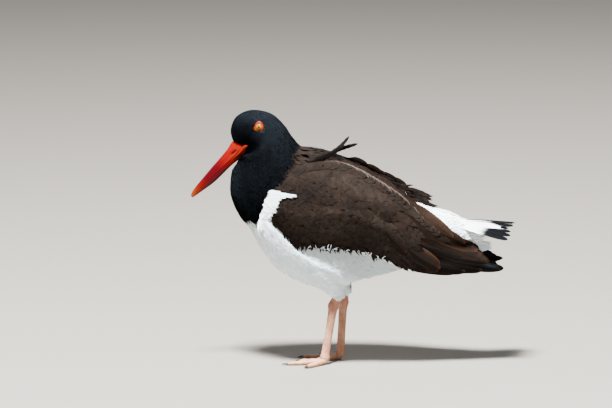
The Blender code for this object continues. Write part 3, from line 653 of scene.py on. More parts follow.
def make_mandible(name, upper, node):
    """One blade: at each distance a ring that runs up its side, over the ridge, down the other
    side and back along the flat mouth edge. The nostril and the grooves are pressed in."""
    turn = np.linspace(0, 2 * math.pi, 56, endpoint=False)
    at = np.linspace(0, len(BILL_STATIONS) - 1, 120)[:, None]
    distance, top, bottom, mouth, half = np.moveaxis(through_stations(BILL_STATIONS, at), -1, 0)
    rise = np.clip(np.sin(turn), 0, 1) ** 0.92
    belly = 1.0 - 0.10 * rise
    out = half * np.sign(np.cos(turn)) * np.abs(np.cos(turn)) ** 0.72 * belly
    full = (top - mouth) if upper else (mouth - bottom)
    level = (full - BILL_GAP) * rise
    height = mouth + (BILL_GAP + level if upper else -BILL_GAP - level)
    side_share = np.abs(out) / half
    if upper:
        middle, level_up, long, high = NOSTRIL
        above = height - level_up - 0.06 * (distance - middle)
        slit = np.exp(-(((distance - middle) / long) ** 4) - (above / high) ** 2)
        groove = np.exp(-(((height - mouth - 1.9) / 0.45) ** 2)) * np.clip(1 - (distance - 6) / 34, 0, 1)
        ridge = np.exp(-(((height - mouth - 3.0) / 0.6) ** 2)) * np.clip(1 - (distance - 4) / 26, 0, 1)
        press = 1.5 * slit + 0.38 * groove - 0.35 * ridge
    else:
        slit, ridge = np.zeros_like(out), np.zeros_like(out)
        groove = np.exp(-(((mouth - height - 1.8) / 0.5) ** 2)) * np.clip(1 - (distance - 2) / 40, 0, 1)
        press = 0.40 * groove
    out = out - np.sign(out) * np.minimum(press, np.abs(out) * 0.8) * (side_share > 0.45)
    places, along = zip(*BILL_COLOURS)
    colour = np.stack([np.interp(distance, places, channel) for channel in zip(*along)], axis=-1)
    colour = colour * np.ones(out.shape + (1,))
    crest = np.clip(rise - 0.72, 0, 1)[..., None] / 0.28
    colour = colour * (1 - 0.30 * crest * np.clip((distance[..., None] - 4) / 20, 0, 1))
    warm = np.clip(1 - distance / 30, 0, 1) * (0.35 + 0.65 * np.sin(turn * 3 + distance * 0.2) ** 2)
    colour = colour * (1 + 0.25 * warm[..., None])
    # Painted shade darkens the grooves; a painted highlight lightens the ridge.
    colour = colour * (1 - 0.55 * groove[..., None]) + ridge[..., None] * RIDGE_PAINTED_HIGHLIGHT
    colour = colour * (1 - 0.93 * np.clip(slit * 1.6, 0, 1)[..., None])
    streaks = np.sin(distance * 1.7 + 3 * np.sin(height * 2.1)) * np.sin(height * 5.0 + distance * 0.15)
    colour = np.clip(colour * (1 + 0.10 * streaks[..., None]), 0, 1)
    blade = tube_piece(name, [(bill_place(distance, height, out), colour)], BILL_FINISH, "horn")
    fit(blade, "bill_horn", node)


GAPE_STATIONS = np.array([
    # distance, height, place across, half height, half width
    (-11.6, -4.1, 10.7, 0.25, 0.25), (-9.3, -3.5, 10.0, 1.5, 0.9), (-6.5, -2.9, 9.0, 2.2, 1.0),
    (-2.5, -3.1, 7.6, 1.7, 0.9), (3.0, -3.5, 6.4, 0.95, 0.7), (9.0, -3.2, 5.6, 0.6, 0.45),
    (16.0, -2.9, 5.0, 0.15, 0.1),
])
GAPE_ORANGE = np.array((0.135, 0.0060, 0.0))


def make_gape(side):
    """The fleshy flange at the corner of the mouth: a soft tapered cord along the mouth's line,
    flattened against the face."""
    at = np.linspace(0, len(GAPE_STATIONS) - 1, 40)
    distance, height, out = through_stations(GAPE_STATIONS[:, :3], at).T
    path = bill_place(distance, height, side * out)
    tall, wide = (np.interp(at, np.arange(len(GAPE_STATIONS)), half)[:, None]
                  for half in GAPE_STATIONS[:, 3:].T)
    turn = np.linspace(0, 2 * math.pi, 20, endpoint=False)
    up = bill_place(0, 1, 0) - bill_place(0, 0, 0)
    fold = 1 - 0.18 * np.exp(-((np.cos(turn) / 0.25) ** 2))
    points = (path[:, None] + (tall * np.sin(turn) * fold)[..., None] * up
              + (wide * np.cos(turn))[..., None] * np.array((0, side, 0)))
    colour = GAPE_ORANGE * (0.75 + 0.4 * np.cos(turn) ** 2)[None, :, None] * np.ones((len(at), 1, 1))
    flange = tube_piece(f"gape_flange_{WORD[side]}", [(points, colour)], BILL_FINISH, "horn")
    fit(flange, "bill_horn", f"gape_{WORD[side]}")


BILL_FINISH = attribute_material("orange_red_horn", "horn", 0.36, bump=(700, 0.12), speckle=0.08,
                                 Specular_IOR_Level=0.10)
make_mandible("bill_upper_blade", True, "upper_mandible")
make_mandible("bill_lower_blade", False, "lower_mandible")
for side in (LEFT, RIGHT):
    make_gape(side)


# Legs: bare flesh-pink skin in small scales, with broader plates down the front of each shank,
# a knobbed ankle, and three toes with padded soles, a small web and dark claws.
LEG_PATHS = {
    LEFT: {"cuff": (-17.6, -19.0, 82.0), "ankle": (-23.0, -18.0, 69.5), "foot": (-33.0, -18.0, 7.2)},
    RIGHT: {"cuff": (-9.2, 17.0, 82.0), "ankle": (-11.5, 16.0, 68.5), "foot": (-14.8, 15.0, 7.2)},
}
SHANK_STATIONS = np.array([
    # share of the way from cuff to foot, half depth front to back, half width
    (-0.10, 4.7, 3.6), (0.08, 4.8, 3.7), (0.155, 5.9, 4.5), (0.21, 5.8, 4.4), (0.27, 5.1, 3.8),
    (0.42, 4.6, 3.4), (0.62, 4.4, 3.3), (0.82, 4.6, 3.5), (0.93, 5.0, 3.9), (0.985, 5.5, 4.6),
    (1.03, 5.0, 4.5),
])
SCALE_ROWS, PLATE_ROWS, SCALE_DEPTH = 54, 34, 0.22
ANKLE_SHARE = 0.165  # where the shank bends
TOES = {"middle": (50.0, 9.0), "outer": (41.0, 54.0), "inner": (37.0, -24.0)}  # length, turn out
TOE_JOINTS = {"middle": (0.36, 0.62, 0.84), "outer": (0.3, 0.52, 0.72, 0.88), "inner": (0.5, 0.82)}
TOE_RADIUS, TOE_TIP_RADIUS = 3.9, 2.3
TOE_SOLE_HEIGHT, TOE_JOINT_SWELLING = 2.6, 0.45
WEB_TOP, WEB_UNDERSIDE, WEB_REACH = 2.6, 1.0, 0.36
CLAW_LENGTH, CLAW_RADIUS = 7.0, 1.75
CLAW_BROWN = np.array((1.0, 0.82, 0.7))
LEG_PINK = np.array((0.33, 0.145, 0.082))
LEG_PALE = np.array((0.43, 0.250, 0.160))
LEG_CREASE = np.array((0.17, 0.060, 0.042))
ANKLE_RED = np.array((0.40, 0.110, 0.085))


def path_frames(path):
    """Unit directions along a path, and two unit directions across it, the first level."""
    ahead = np.gradient(path, axis=0)
    ahead /= np.linalg.norm(ahead, axis=1)[:, None]
    upright = abs(ahead[len(path) // 2, 2]) > 0.7
    level = np.cross(ahead, (1.0, 0, 0) if upright else (0, 0, 1.0))
    level /= np.linalg.norm(level, axis=1)[:, None]
    return ahead, level, np.cross(level, ahead)


def scale_pattern(along, turn, rows, around):
    """0 in the creases between scales and 1 on their backs: staggered cells, made of two waves."""
    row = along * rows
    shift = math.pi * (np.floor(row) % 2)
    cell = np.abs(np.sin(math.pi * row)) ** 0.5 * np.abs(np.sin((turn * around + shift) / 2)) ** 0.35
    return np.clip(cell * 1.15, 0, 1)


def make_shank(side):
    """The bare leg: ellipses along a bent line through the ankle, raised by their scales."""
    cuff, ankle, foot = (np.array(LEG_PATHS[side][k]) for k in ("cuff", "ankle", "foot"))
    share = np.linspace(-0.08, 1.03, 260)
    path = np.where((share < ANKLE_SHARE)[:, None], cuff + (share / ANKLE_SHARE)[:, None] * (ankle - cuff),
                    ankle + ((share - ANKLE_SHARE) / (1 - ANKLE_SHARE))[:, None] * (foot - ankle))
    kernel = np.hanning(41) / np.hanning(41).sum()
    padded = np.pad(path, ((20, 20), (0, 0)), mode="reflect", reflect_type="odd")
    path = np.stack([np.convolve(padded[:, k], kernel, "valid") for k in range(3)], axis=-1)
    _, level, front = path_frames(path)
    front = -front if front[130, 0] > 0 else front
    turn = np.linspace(0, 2 * math.pi, 72, endpoint=False)
    deep = smooth_line(SHANK_STATIONS[:, :2], share)[:, None]
    wide = smooth_line(SHANK_STATIONS[:, ::2], share)[:, None]
    ahead_share = np.clip(np.cos(turn), 0, 1) ** 1.5
    fine = scale_pattern(share[:, None], turn, SCALE_ROWS, 14)
    plates = np.abs(np.sin(math.pi * share * PLATE_ROWS))[:, None] ** 0.4 * np.ones_like(turn)
    scales = fine * (1 - ahead_share) + plates * ahead_share
    knob = 0.5 * np.exp(-(((share - 0.18) / 0.03) ** 2))[:, None] * np.cos(turn) ** 2
    lift = SCALE_DEPTH * (scales - 0.5) + knob
    points = (path[:, None] + ((deep + lift) * np.cos(turn))[..., None] * front[:, None]
              + ((wide + lift) * np.sin(turn))[..., None] * level[:, None])
    return points, scales


def toe_path(side, toe, count):
    """The path of a toe's middle line along the floor, and its level direction."""
    length, turn = TOES[toe]
    foot = np.array(LEG_PATHS[side]["foot"])
    ahead = np.array((-math.cos(math.radians(turn)), side * math.sin(math.radians(turn)), 0.0))
    share = np.linspace(0, 1, count)
    path = np.array((foot[0], foot[1], 0.0)) + np.outer(share * (length - CLAW_LENGTH + 1.5), ahead)
    path[:, 2] = TOE_SOLE_HEIGHT + 1.6 * (1 - share) ** 3 - 0.5 * share
    return path, ahead, share


def make_toe(side, toe):
    """A toe: ellipses along its path, swollen at each joint, plated above, its sole pressed flat."""
    path, _, share = toe_path(side, toe, 110)
    _, level, up = path_frames(path)
    turn = np.linspace(0, 2 * math.pi, 40, endpoint=False)
    radius = TOE_RADIUS + (TOE_TIP_RADIUS - TOE_RADIUS) * share
    for joint in TOE_JOINTS[toe]:
        radius = radius + TOE_JOINT_SWELLING * np.exp(-(((share - joint) / 0.045) ** 2))
    radius = radius * np.sqrt(np.clip(1.02 - share**14, 0.05, 1)) * np.sqrt(np.clip(share / 0.04, 0.2, 1))
    above = np.clip(np.sin(turn), 0, 1)
    plates = np.abs(np.sin(math.pi * share * 20))[:, None] ** 0.45
    fine = scale_pattern(share[:, None], turn, 26, 12)
    scales = plates * above + fine * (1 - above)
    reach = radius[:, None] + 0.25 * (scales - 0.5)
    points = (path[:, None] + (reach * np.cos(turn))[..., None] * level[:, None]
              + (reach * 0.92 * np.sin(turn))[..., None] * up[:, None])
    points[..., 2] = np.maximum(points[..., 2], 0.0)
    return points, scales


def make_web(side):
    """The short web between the middle and outer toes: a flat sheet between their inner lengths
    whose front edge is drawn back in an arc towards the foot."""
    reach = np.linspace(0.02, WEB_REACH, 16)

    def along(toe, shares):
        path, _, share = toe_path(side, toe, 41)
        return np.stack([np.interp(shares, share, line) for line in path.T], axis=-1)

    a, b = along("middle", reach), along("outer", reach * 1.15)
    across = np.linspace(0, 1, 12)
    hollow = 0.55 * 4 * across * (1 - across)
    sheet = a[:, None] + across[:, None] * (b - a)[:, None]
    sheet = sheet + (a[0] - sheet) * (hollow * reach[:, None] * 1.6)[..., None]
    top, under = sheet.copy(), sheet.copy()
    top[..., 2], under[..., 2] = WEB_TOP, WEB_UNDERSIDE
    return np.concatenate([top, under[:, ::-1]], axis=1)


def leg_colour(points, scales, side):
    """Pink on the scales and reddish in the creases, in paler blotches and redder round the ankle."""
    scales = scales[..., None]
    x, y, z = points[..., :1], points[..., 1:2], points[..., 2:3]
    blotches = np.sin(z * 0.83 + 2 * np.sin(y * 0.9 + x)) * np.sin(x * 1.3)
    pale = 0.45 + 0.3 * np.sin(z * 0.21 + x * 0.4) + 0.35 * blotches
    flesh = LEG_PINK + (LEG_PALE - LEG_PINK) * np.clip(pale, 0, 1)
    at_ankle = np.exp(-(((z - LEG_PATHS[side]["ankle"][2] + 3) / 5) ** 2))
    red = at_ankle * (0.5 + 0.5 * np.sin(x * 1.1 + y * 0.7))
    flesh = flesh + (ANKLE_RED - flesh) * 0.7 * red
    return LEG_CREASE + (flesh - LEG_CREASE) * np.clip(scales, 0, 1) ** 0.55


LEG_FINISH = attribute_material("flesh_pink_skin", "leg", 0.5, bump=(1800, 0.25), speckle=0.12,
                                Subsurface_Weight=0.08, Subsurface_Scale=0.0015, Specular_IOR_Level=0.3)
CLAW_FINISH = attribute_material("dark_claw_horn", "claw", 0.35, speckle=0.15)
for side in (LEFT, RIGHT):
    points, scales = make_shank(side)
    shank = tube_piece(f"bare_shank_{WORD[side]}", [(points, leg_colour(points, scales, side))],
                       LEG_FINISH, "leg")
    fit(shank, "leg_skin", f"shank_{WORD[side]}")

    tubes = []
    for toe in TOES:
        points, scales = make_toe(side, toe)
        tubes.append((points, leg_colour(points, scales, side)))
    web = make_web(side)
    tubes.append((web, np.broadcast_to(LEG_PINK * 0.85, web.shape)))
    fit(tube_piece(f"toes_{WORD[side]}", tubes, LEG_FINISH, "leg"), "leg_skin", f"foot_{WORD[side]}")

    for toe in TOES:
        path, ahead, _ = toe_path(side, toe, 40)
        share = np.linspace(0, 1, 30)
        claw_path = path[-1] - ahead * 1.5 + np.outer(share * (CLAW_LENGTH + 0.3), ahead)
        claw_path[:, 2] = path[-1, 2] + 0.6 * np.sin(share * 2.2) - 1.3 * share**2
        _, level, up = path_frames(claw_path)
        turn = np.linspace(0, 2 * math.pi, 20, endpoint=False)
        radius = (CLAW_RADIUS * (1 - share) ** 0.6 + 0.12)[:, None]
        points = (claw_path[:, None] + (radius * 0.8 * np.cos(turn))[..., None] * level[:, None]
                  + (radius * np.sin(turn))[..., None] * up[:, None])
        points[..., 2] = np.maximum(points[..., 2], 0.02)
        shade = (0.018 + 0.05 * (1 - share) ** 2)[:, None, None] * CLAW_BROWN
        claw = tube_piece(f"nail_{toe}_{WORD[side]}", [(points, np.broadcast_to(shade, points.shape))],
                          CLAW_FINISH, "claw")
        fit(claw, "claw_horn", f"claw_{toe}_{WORD[side]}")


# Body feathers: short soft vanes with loose ragged tips, tiny and close on the face, longer down
# the neck, breast and belly, each rooted in the skin and lying back over the next.
BAKE_MAP = "OFBake"
TUFT_PATCH, ISLAND_FILL = 0.003, 0.9
BARB_SLANT, BARB_DEPTH = -0.55, 0.0002


def scatter(count, first, last, rng, keep=None):
    """Station numbers and turns spread evenly over the body's surface between two stations: the
    surface is cut into small cells, and places are drawn along their running sum of areas."""
    at = np.linspace(first, last, 121)
    turn = np.linspace(0, 2 * math.pi, 97)
    points = body(at[:, None], turn)
    along = np.linalg.norm(np.diff(points, axis=0), axis=-1)
    around = np.linalg.norm(np.diff(points, axis=1), axis=-1)
    area = (along[:, :-1] * around[:-1]).ravel()
    total = np.cumsum(area)
    picks = np.searchsorted(total, (np.arange(count) + rng.random(count)) / count * total[-1])
    row, column = np.divmod(np.minimum(picks, len(area) - 1), 96)
    places = (at[row] + rng.random(count) * (at[1] - at[0]),
              turn[column] + rng.random(count) * (turn[1] - turn[0]))
    if keep is None:
        return places
    kept = keep(*places)
    return places[0][kept], places[1][kept]


def lie(points_at, at, turn):
    """Where a feather at these places sits: the point, the outward normal, the backward and the
    sideways direction, and how fast the surface curves away in both, from small steps."""
    step = 1e-3
    place = points_at(at, turn)
    along = (points_at(at + step, turn) - points_at(at - step, turn)) / (2 * step)
    around = (points_at(at, turn + step) - points_at(at, turn - step)) / (2 * step)

    def unit(v):
        return v / np.maximum(np.linalg.norm(v, axis=-1, keepdims=True), 1e-9)

    def normal_at(a, t):
        p = points_at(a + step, t) - points_at(a - step, t)
        q = points_at(a, t + step) - points_at(a, t - step)
        return unit(np.cross(p, q))

    out, back = normal_at(at, turn), unit(along)
    side = np.cross(out, back)
    reach = 3.0
    d_at = np.clip(reach / np.maximum(np.linalg.norm(along, axis=-1), 1.0), 0, 0.4)
    d_turn = np.clip(reach / np.maximum(np.linalg.norm(around, axis=-1), 1.0), 0, 0.4)
    ahead_out, side_out = normal_at(at + d_at, turn), normal_at(at, turn + d_turn)
    step_back = np.linalg.norm(points_at(at + d_at, turn) - place, axis=-1)
    step_side = np.linalg.norm(points_at(at, turn + d_turn) - place, axis=-1)
    curve_back = ((ahead_out - out) * back).sum(-1) / np.maximum(step_back, 0.5)
    curve_side = np.abs(((side_out - out) * side).sum(-1)) / np.maximum(step_side, 0.5)
    return place, out, back, side, np.clip(curve_back, -0.02, 0.05), np.clip(curve_side, 0, 0.05)


def vanes(seat, length, width, rng, rows=5, columns=5, deep=3.0, rise=0.4, sway=0.12, ragged=0.16,
          camber=0.10, taper=0.55, point=0.35, tuck=0.0):
    """Points of many feathers, one grid each: rows run from root to tip and columns across. The
    vane widens from its root and narrows to a rounded, ragged tip; it starts deep in the coat,
    rises to the surface, is tucked in again at its tip and bends with the body under it."""
    place, out, back, side, curve_back, curve_side = (a[:, None, None] if a.ndim == 1 else
                                                      a[:, None, None, :] for a in seat)
    count = len(place)
    length, width = (np.broadcast_to(v, (count,))[:, None, None] for v in (length, width))
    turn = rng.normal(0, sway, (count, 1, 1, 1))
    back, side = back * np.cos(turn) + side * np.sin(turn), side * np.cos(turn) - back * np.sin(turn)
    u = np.linspace(0, 1, rows)[None, :, None]
    v = np.linspace(-1, 1, columns)[None, None, :]
    profile = np.sin(math.pi * (0.10 + 0.90 * u**taper * 0.9)) ** 0.8 + 0.06
    teeth = rng.uniform(-1, 1, (count, 1, columns)) * ragged
    along = length * (u * (1 - point * v**2 * u**2) + teeth * u**4)
    across = width / 2 * profile * v
    deep, rise = (np.broadcast_to(x, (count,))[:, None, None] for x in (deep, rise))
    lift = rise * rng.uniform(0.4, 1.4, (count, 1, 1))
    height = -deep + (deep + lift) * u**0.75 - camber * width * v**2 * profile - tuck * u**6
    height = height - curve_back * along**2 / 2 - curve_side * across**2 / 2
    points = place + along[..., None] * back + across[..., None] * side + height[..., None] * out
    return points, u, v


def feather_quads(count, rows, columns):
    """Quads of many equal grids that lie one after another."""
    one = grid_faces(rows, columns)
    return (one[None] + (np.arange(count) * rows * columns)[:, None, None]).reshape(-1, 4)


def islands(count):
    """The middle of each feather's own square on the bake map, and the squares' size."""
    across = math.ceil(math.sqrt(count))
    row, column = np.divmod(np.arange(count), across)
    return np.stack([(column + 0.5) / across, (row + 0.5) / across], axis=-1), ISLAND_FILL / across


def lay_coat(name, points, u, v, colour, finish, slot, *nodes, patch=None):
    """A piece of joined feathers, which may stand for nodes: colour is for each feather or point.
    patch is each feather's place on the bake map, or else each has a square of its own."""
    count, rows, columns = points.shape[:3]
    patch, size = islands(count) if patch is None else (patch, TUFT_PATCH)
    colour = colour if colour.ndim == 4 else np.broadcast_to(colour[:, None, None], points.shape)
    vane = np.stack(np.broadcast_arrays((v + 1) / 2, u), axis=-1)
    vane = np.broadcast_to(vane, (count, rows, columns, 2))
    coat = surface(name, points, feather_quads(count, rows, columns), finish, plumage=colour,
                   uv_maps=((BAKE_MAP, patch[:, None, None] + size * (vane - 0.5)), ("Vane", vane)))
    fit(coat, slot, *nodes)


def body_patch(at, turn):
    """A feather's place on the bake map: the body unrolled, its stations upwards."""
    return np.stack([0.02 + 0.96 * (turn % (2 * math.pi)) / (2 * math.pi),
                     0.02 + 0.96 * at / LAST_STATION], axis=-1)


def clear_of_eye(place, back, length):
    """Feather lengths cut short so that none crosses the bare ring. A feather rooted just inside
    the ring's rear edge comes out from under it; the others inside get no length."""
    steps = np.linspace(0, 1, 12)
    x = place[:, None, 0] + steps * (length * back[:, 0])[:, None] - EYE_CENTRE[0]
    z = place[:, None, 2] + steps * (length * back[:, 2])[:, None] - EYE_CENTRE[2]
    beyond = np.hypot(x, z) - ring_reach(np.arctan2(z, x)) - 0.1
    inside = beyond < 0
    reach = np.where(inside.any(axis=1), steps[np.argmax(inside, axis=1)], 1.0)
    from_under = inside[:, 0] & (beyond[:, 0] > -1.6) & ~inside[:, -6:].any(axis=1)
    return length * np.where(inside[:, 0], from_under, reach)


def feather_material(name, roughness, barbs=55.0, strength=0.35, speckle=0.10, **sockets):
    """A vane's finish: the plumage's colour, speckled, with fine barbs slanting out from the shaft
    as bump."""
    material = attribute_material(name, "plumage", roughness, speckle=speckle, **sockets)
    vane = add_node(material, "UVMap", uv_map="Vane").outputs["UV"]
    parts = add_node(material, "SeparateXYZ", {"Vector": vane}).outputs

    def maths(operation, *values):
        return add_node(material, "Math", dict(enumerate(values)), operation=operation).outputs[0]

    from_shaft = maths("ABSOLUTE", maths("SUBTRACT", parts["X"], 0.5))
    slanted = maths("MULTIPLY_ADD", from_shaft, BARB_SLANT, parts["Y"])
    emboss(material, maths("SINE", maths("MULTIPLY", slanted, barbs * 2 * math.pi)), strength, BARB_DEPTH)
    return material


BLACK_COAT = feather_material("black_vanes", 0.5, speckle=0.2, Specular_IOR_Level=0.015,
                              Specular_Tint=(0.70, 0.85, 1.0, 1.0))
WHITE_COAT = feather_material("white_vanes", 0.8, speckle=0.02, strength=0.15, Specular_IOR_Level=0.1,
                              Subsurface_Weight=0.35, Subsurface_Scale=0.002)
BROWN_COAT = feather_material("brown_vanes", 0.62, speckle=0.3, Specular_IOR_Level=0.03)


def body_tract(name, first, last, count, length, width, seed, finish, slot, keep=None, rows=5,
               columns=5, mottle=0.05, fringe=0.0, uneven=0.10, rooted=0.5, **shape):
    """One tract of the body's coat: feathers scattered between two stations, their length and
    width each given at the first and the last station."""
    rng = np.random.default_rng(seed)
    at, turn = scatter(count, first, last, rng, keep)
    seat = list(lie(body, at, turn))
    share = (at - first) / (last - first)
    long = (length[0] + (length[1] - length[0]) * share) * rng.uniform(0.82, 1.15, len(at))
    wide = (width[0] + (width[1] - width[0]) * share) * rng.uniform(0.85, 1.15, len(at))
    if first < 5:
        cut = clear_of_eye(seat[0], seat[2], long)
        wide = wide * np.clip(cut / long + 0.25, 0, 1)
        long = cut
        ok = long > 1.0
        at, turn, long, wide = at[ok], turn[ok], long[ok], wide[ok]
        seat = [a[ok] for a in seat]
    coat = through_stations(BODY_STATIONS, at)[:, 5]
    points, u, v = vanes(seat, long, wide, rng, rows, columns, deep=coat * rooted, **shape)
    colour = plumage(at + 0.02 * long, turn, rng.normal(0, mottle, len(at)))
    light = 1 + rng.normal(0, uneven, (len(at), 1))
    colour = np.clip(colour * light, 0, 1)
    if fringe:
        edge = (np.clip((np.maximum(np.abs(v), u**4) - 0.6) / 0.4, 0, 1) * fringe)[..., None]
        # Painted shade: the fringed feathers are darker towards their roots.
        colour = colour[:, None, None] * (1 - edge) * (0.7 + 0.3 * u[..., None]) + RUFOUS * 0.6 * edge
    lay_coat(name, points, u, v, colour, finish, slot, patch=body_patch(at, turn))


def outside_wing(margin):
    """A test of body places: not under a folded wing by more than the margin."""
    def keep(at, turn):
        x, y, z = body(at, turn).T
        z = z - np.where(y > 0, smooth_line(RIGHT_WING_LIFT, x), 0.0)
        level = (z < smooth_line(WING_TOP, x) - margin) & (z > smooth_line(WING_BOTTOM, x) + margin)
        return ~(level & (x > WING_TOP[0][0] + margin) & (x < 60) & (np.abs(y) > 15))
    return keep


BARE_EDGE = (  # height, distance
    (-13, 8), (-9.6, 3), (-8.8, -0.5), (-5.6, -4.8), (-5.0, -8.0), (-4.1, -11.0), (-2.4, -9.5),
    (-0.6, -7.2), (1.2, -5.2), (4, -3.4), (7.5, -1.9), (10.5, -0.3), (12.5, 1.5),
)


def clear_of_bill(at, turn):
    """A test of body places: not on the bare base of the bill, whose edge runs round the horn and
    out to the tip of the gape flange."""
    x, _, z = body(at, turn).T
    distance = -(x - BILL_BASE[0]) * math.cos(BILL_TILT) - (z - BILL_BASE[1]) * math.sin(BILL_TILT)
    height = -(x - BILL_BASE[0]) * math.sin(BILL_TILT) + (z - BILL_BASE[1]) * math.cos(BILL_TILT)
    bare = distance > np.interp(height, *np.transpose(BARE_EDGE)) + 0.1
    return ~(bare & (height > -9.4) & (height < 13))


def not_mantle(keep=None):
    """A test of body places: outside the brown mantle, and kept by the other test."""
    def test(at, turn):
        _, mantle = markings(at, turn)
        return ~mantle if keep is None else ~mantle & keep(at, turn)
    return test


def on_bib(at, turn):
    """A test of body places: feathers rooted there end in the black of the bib."""
    return markings(at + 0.26, turn)[0]


def off_bib(at, turn):
    """A test of body places: white plumage of the breast, clear of the wings."""
    return not_mantle(outside_wing(14))(at, turn) & ~on_bib(at, turn)


def on_mantle(at, turn):
    """A test of body places: on the brown mantle or just ahead of its edge, clear of the wings."""
    _, mantle = markings(at + 0.12, turn)
    return mantle & outside_wing(9)(at, turn)


body_tract("face_coat", 0.0, 3.4, 9800, (2.6, 4.4), (1.3, 1.9), 1, BLACK_COAT, "black_plumage",
           keep=clear_of_bill, rows=4, columns=4, sway=0.14, ragged=0.14, rise=0.12)
body_tract("nape_coat", 3.3, 6.3, 8200, (4.2, 7.0), (1.9, 2.6), 10, BLACK_COAT, "black_plumage",
           keep=clear_of_bill, rows=4, columns=4, sway=0.14, ragged=0.16, rise=0.2)
body_tract("neck_coat", 6.0, 9.2, 7200, (8.0, 12.0), (2.8, 4.2), 2, BLACK_COAT, "black_plumage",
           keep=not_mantle(clear_of_bill), ragged=0.18, rise=0.35, sway=0.16, mottle=0.08, uneven=0.32)
body_tract("bib_coat", 9.1, 11.0, 3200, (12.0, 13.0), (4.0, 4.8), 12, BLACK_COAT, "black_plumage",
           keep=not_mantle(on_bib), ragged=0.18, rise=0.3, sway=0.14, mottle=0.05, uneven=0.32)
body_tract("breast_coat", 9.0, 12.2, 5600, (12.0, 18.0), (4.6, 6.4), 3, WHITE_COAT, "white_plumage",
           keep=off_bib, ragged=0.16, rise=0.10, mottle=0.10, tuck=0.5, uneven=0.015,
           camber=0.02, sway=0.08)
body_tract("belly_coat", 12.0, 16.2, 5600, (18.0, 24.0), (6.4, 8.0), 4, WHITE_COAT, "white_plumage",
           keep=not_mantle(outside_wing(16)), ragged=0.14, rise=0.08, mottle=0.12, rows=6, tuck=0.6,
           uneven=0.015, camber=0.02, sway=0.07)
body_tract("rump_coat", 15.9, 19.6, 2600, (26.0, 24.0), (8.0, 7.0), 5, WHITE_COAT, "white_plumage",
           keep=not_mantle(outside_wing(16)), ragged=0.10, rise=0.1, mottle=0.15, rows=8, tuck=0.5,
           uneven=0.02, camber=0.02, sway=0.08)
body_tract("mantle_coat", 7.2, 16.4, 3400, (14.0, 20.0), (4.6, 6.5), 6, BROWN_COAT, "brown_plumage",
           keep=on_mantle, ragged=0.12, rise=0.15, rows=6, columns=5, sway=0.10, fringe=0.12, camber=0.02,
           tuck=0.3, uneven=0.12, rooted=0.3)

for side in (LEFT, RIGHT):
    rng = np.random.default_rng(30 + side)
    count = 1700
    at, turn = rng.random(count) ** 0.8, rng.uniform(0, 2 * math.pi, count)
    keep = thigh(at, turn, side)[:, 2] < 106
    at, turn = at[keep], turn[keep]
    seat = list(lie(partial(thigh, side=side), at, turn))
    centre = np.mean([thigh(at, np.full_like(at, k * math.pi / 2), side) for k in range(4)], axis=0)
    flip = np.sign(((seat[0] - centre) * seat[1]).sum(-1))[:, None]
    seat[1] = seat[1] * flip
    seat[4], seat[5] = np.zeros(len(at)), np.full(len(at), 0.03)
    long = 14.0 * (1 - 0.45 * at) * rng.uniform(0.8, 1.1, len(at))
    points, u, v = vanes(seat, long, 4.2, rng, 6, 5, deep=2.0, rise=0.1, ragged=0.16, camber=0.02, tuck=0.3,
                         sway=0.08)
    colour = np.clip(WHITE * (1 + rng.normal(0, 0.015, (len(at), 1))), 0, 1)
    patch = np.stack([0.02 + 0.96 * turn / (2 * math.pi), 0.02 + 0.96 * at], axis=-1)
    lay_coat(f"thigh_coat_{WORD[side]}", points, u, v, colour, WHITE_COAT, "white_plumage", patch=patch)


# Folded wings: broad scapulars above and finer, darker coverts below, each vane rounded with a
# paler fringe, laid back and down as the wind holds them, so that every tip covers the next root.
UPPER_FLOW = ((-90, -6), (-20, -12), (20, -30), (60, -42), (100, -38), (175, -10))  # x, degrees
LOWER_FLOW = ((-90, -62), (-60, -76), (-20, -74), (40, -60), (70, -42), (100, -15), (175, 0))
COVERT_EDGE = (  # the lower edge of the coverts' tips
    (-97, 176), (-94, 171), (-86, 160), (-78, 152), (-73, 146), (-60, 143), (-45, 141.5), (-12, 140),
    (10, 137), (22, 131), (35, 127), (48, 119.5), (56, 116), (66, 112),
)
SCAPULAR_EDGE = ((-90, 197), (-61, 200), (-37, 191.6), (-11, 183.5), (4, 182.8), (20, 181), (36, 176),
                 (51, 171), (62, 172))
SCAPULAR = np.array((0.0072, 0.0051, 0.0041))
WARM_BROWN = np.array((0.0086, 0.0049, 0.0032))
COVERT = np.array((0.0074, 0.0051, 0.0040))
LOW_COVERT = np.array((0.0028, 0.0015, 0.0009))


def wing_share(x, z):
    """How far down a place of the side view is from the wing's upper edge to its lower one."""
    high, low = smooth_line(WING_TOP, x), smooth_line(WING_BOTTOM, x)
    return np.clip((high - z) / np.maximum(high - low, 4), 0, 1)


def wing_flow(x, z):
    """The feathers' heading on the wing: the upper and lower flow, mixed by the share down it."""
    mix = wing_share(x, z) ** 1.3
    return np.radians(smooth_line(UPPER_FLOW, x) * (1 - mix) + smooth_line(LOWER_FLOW, x) * mix)


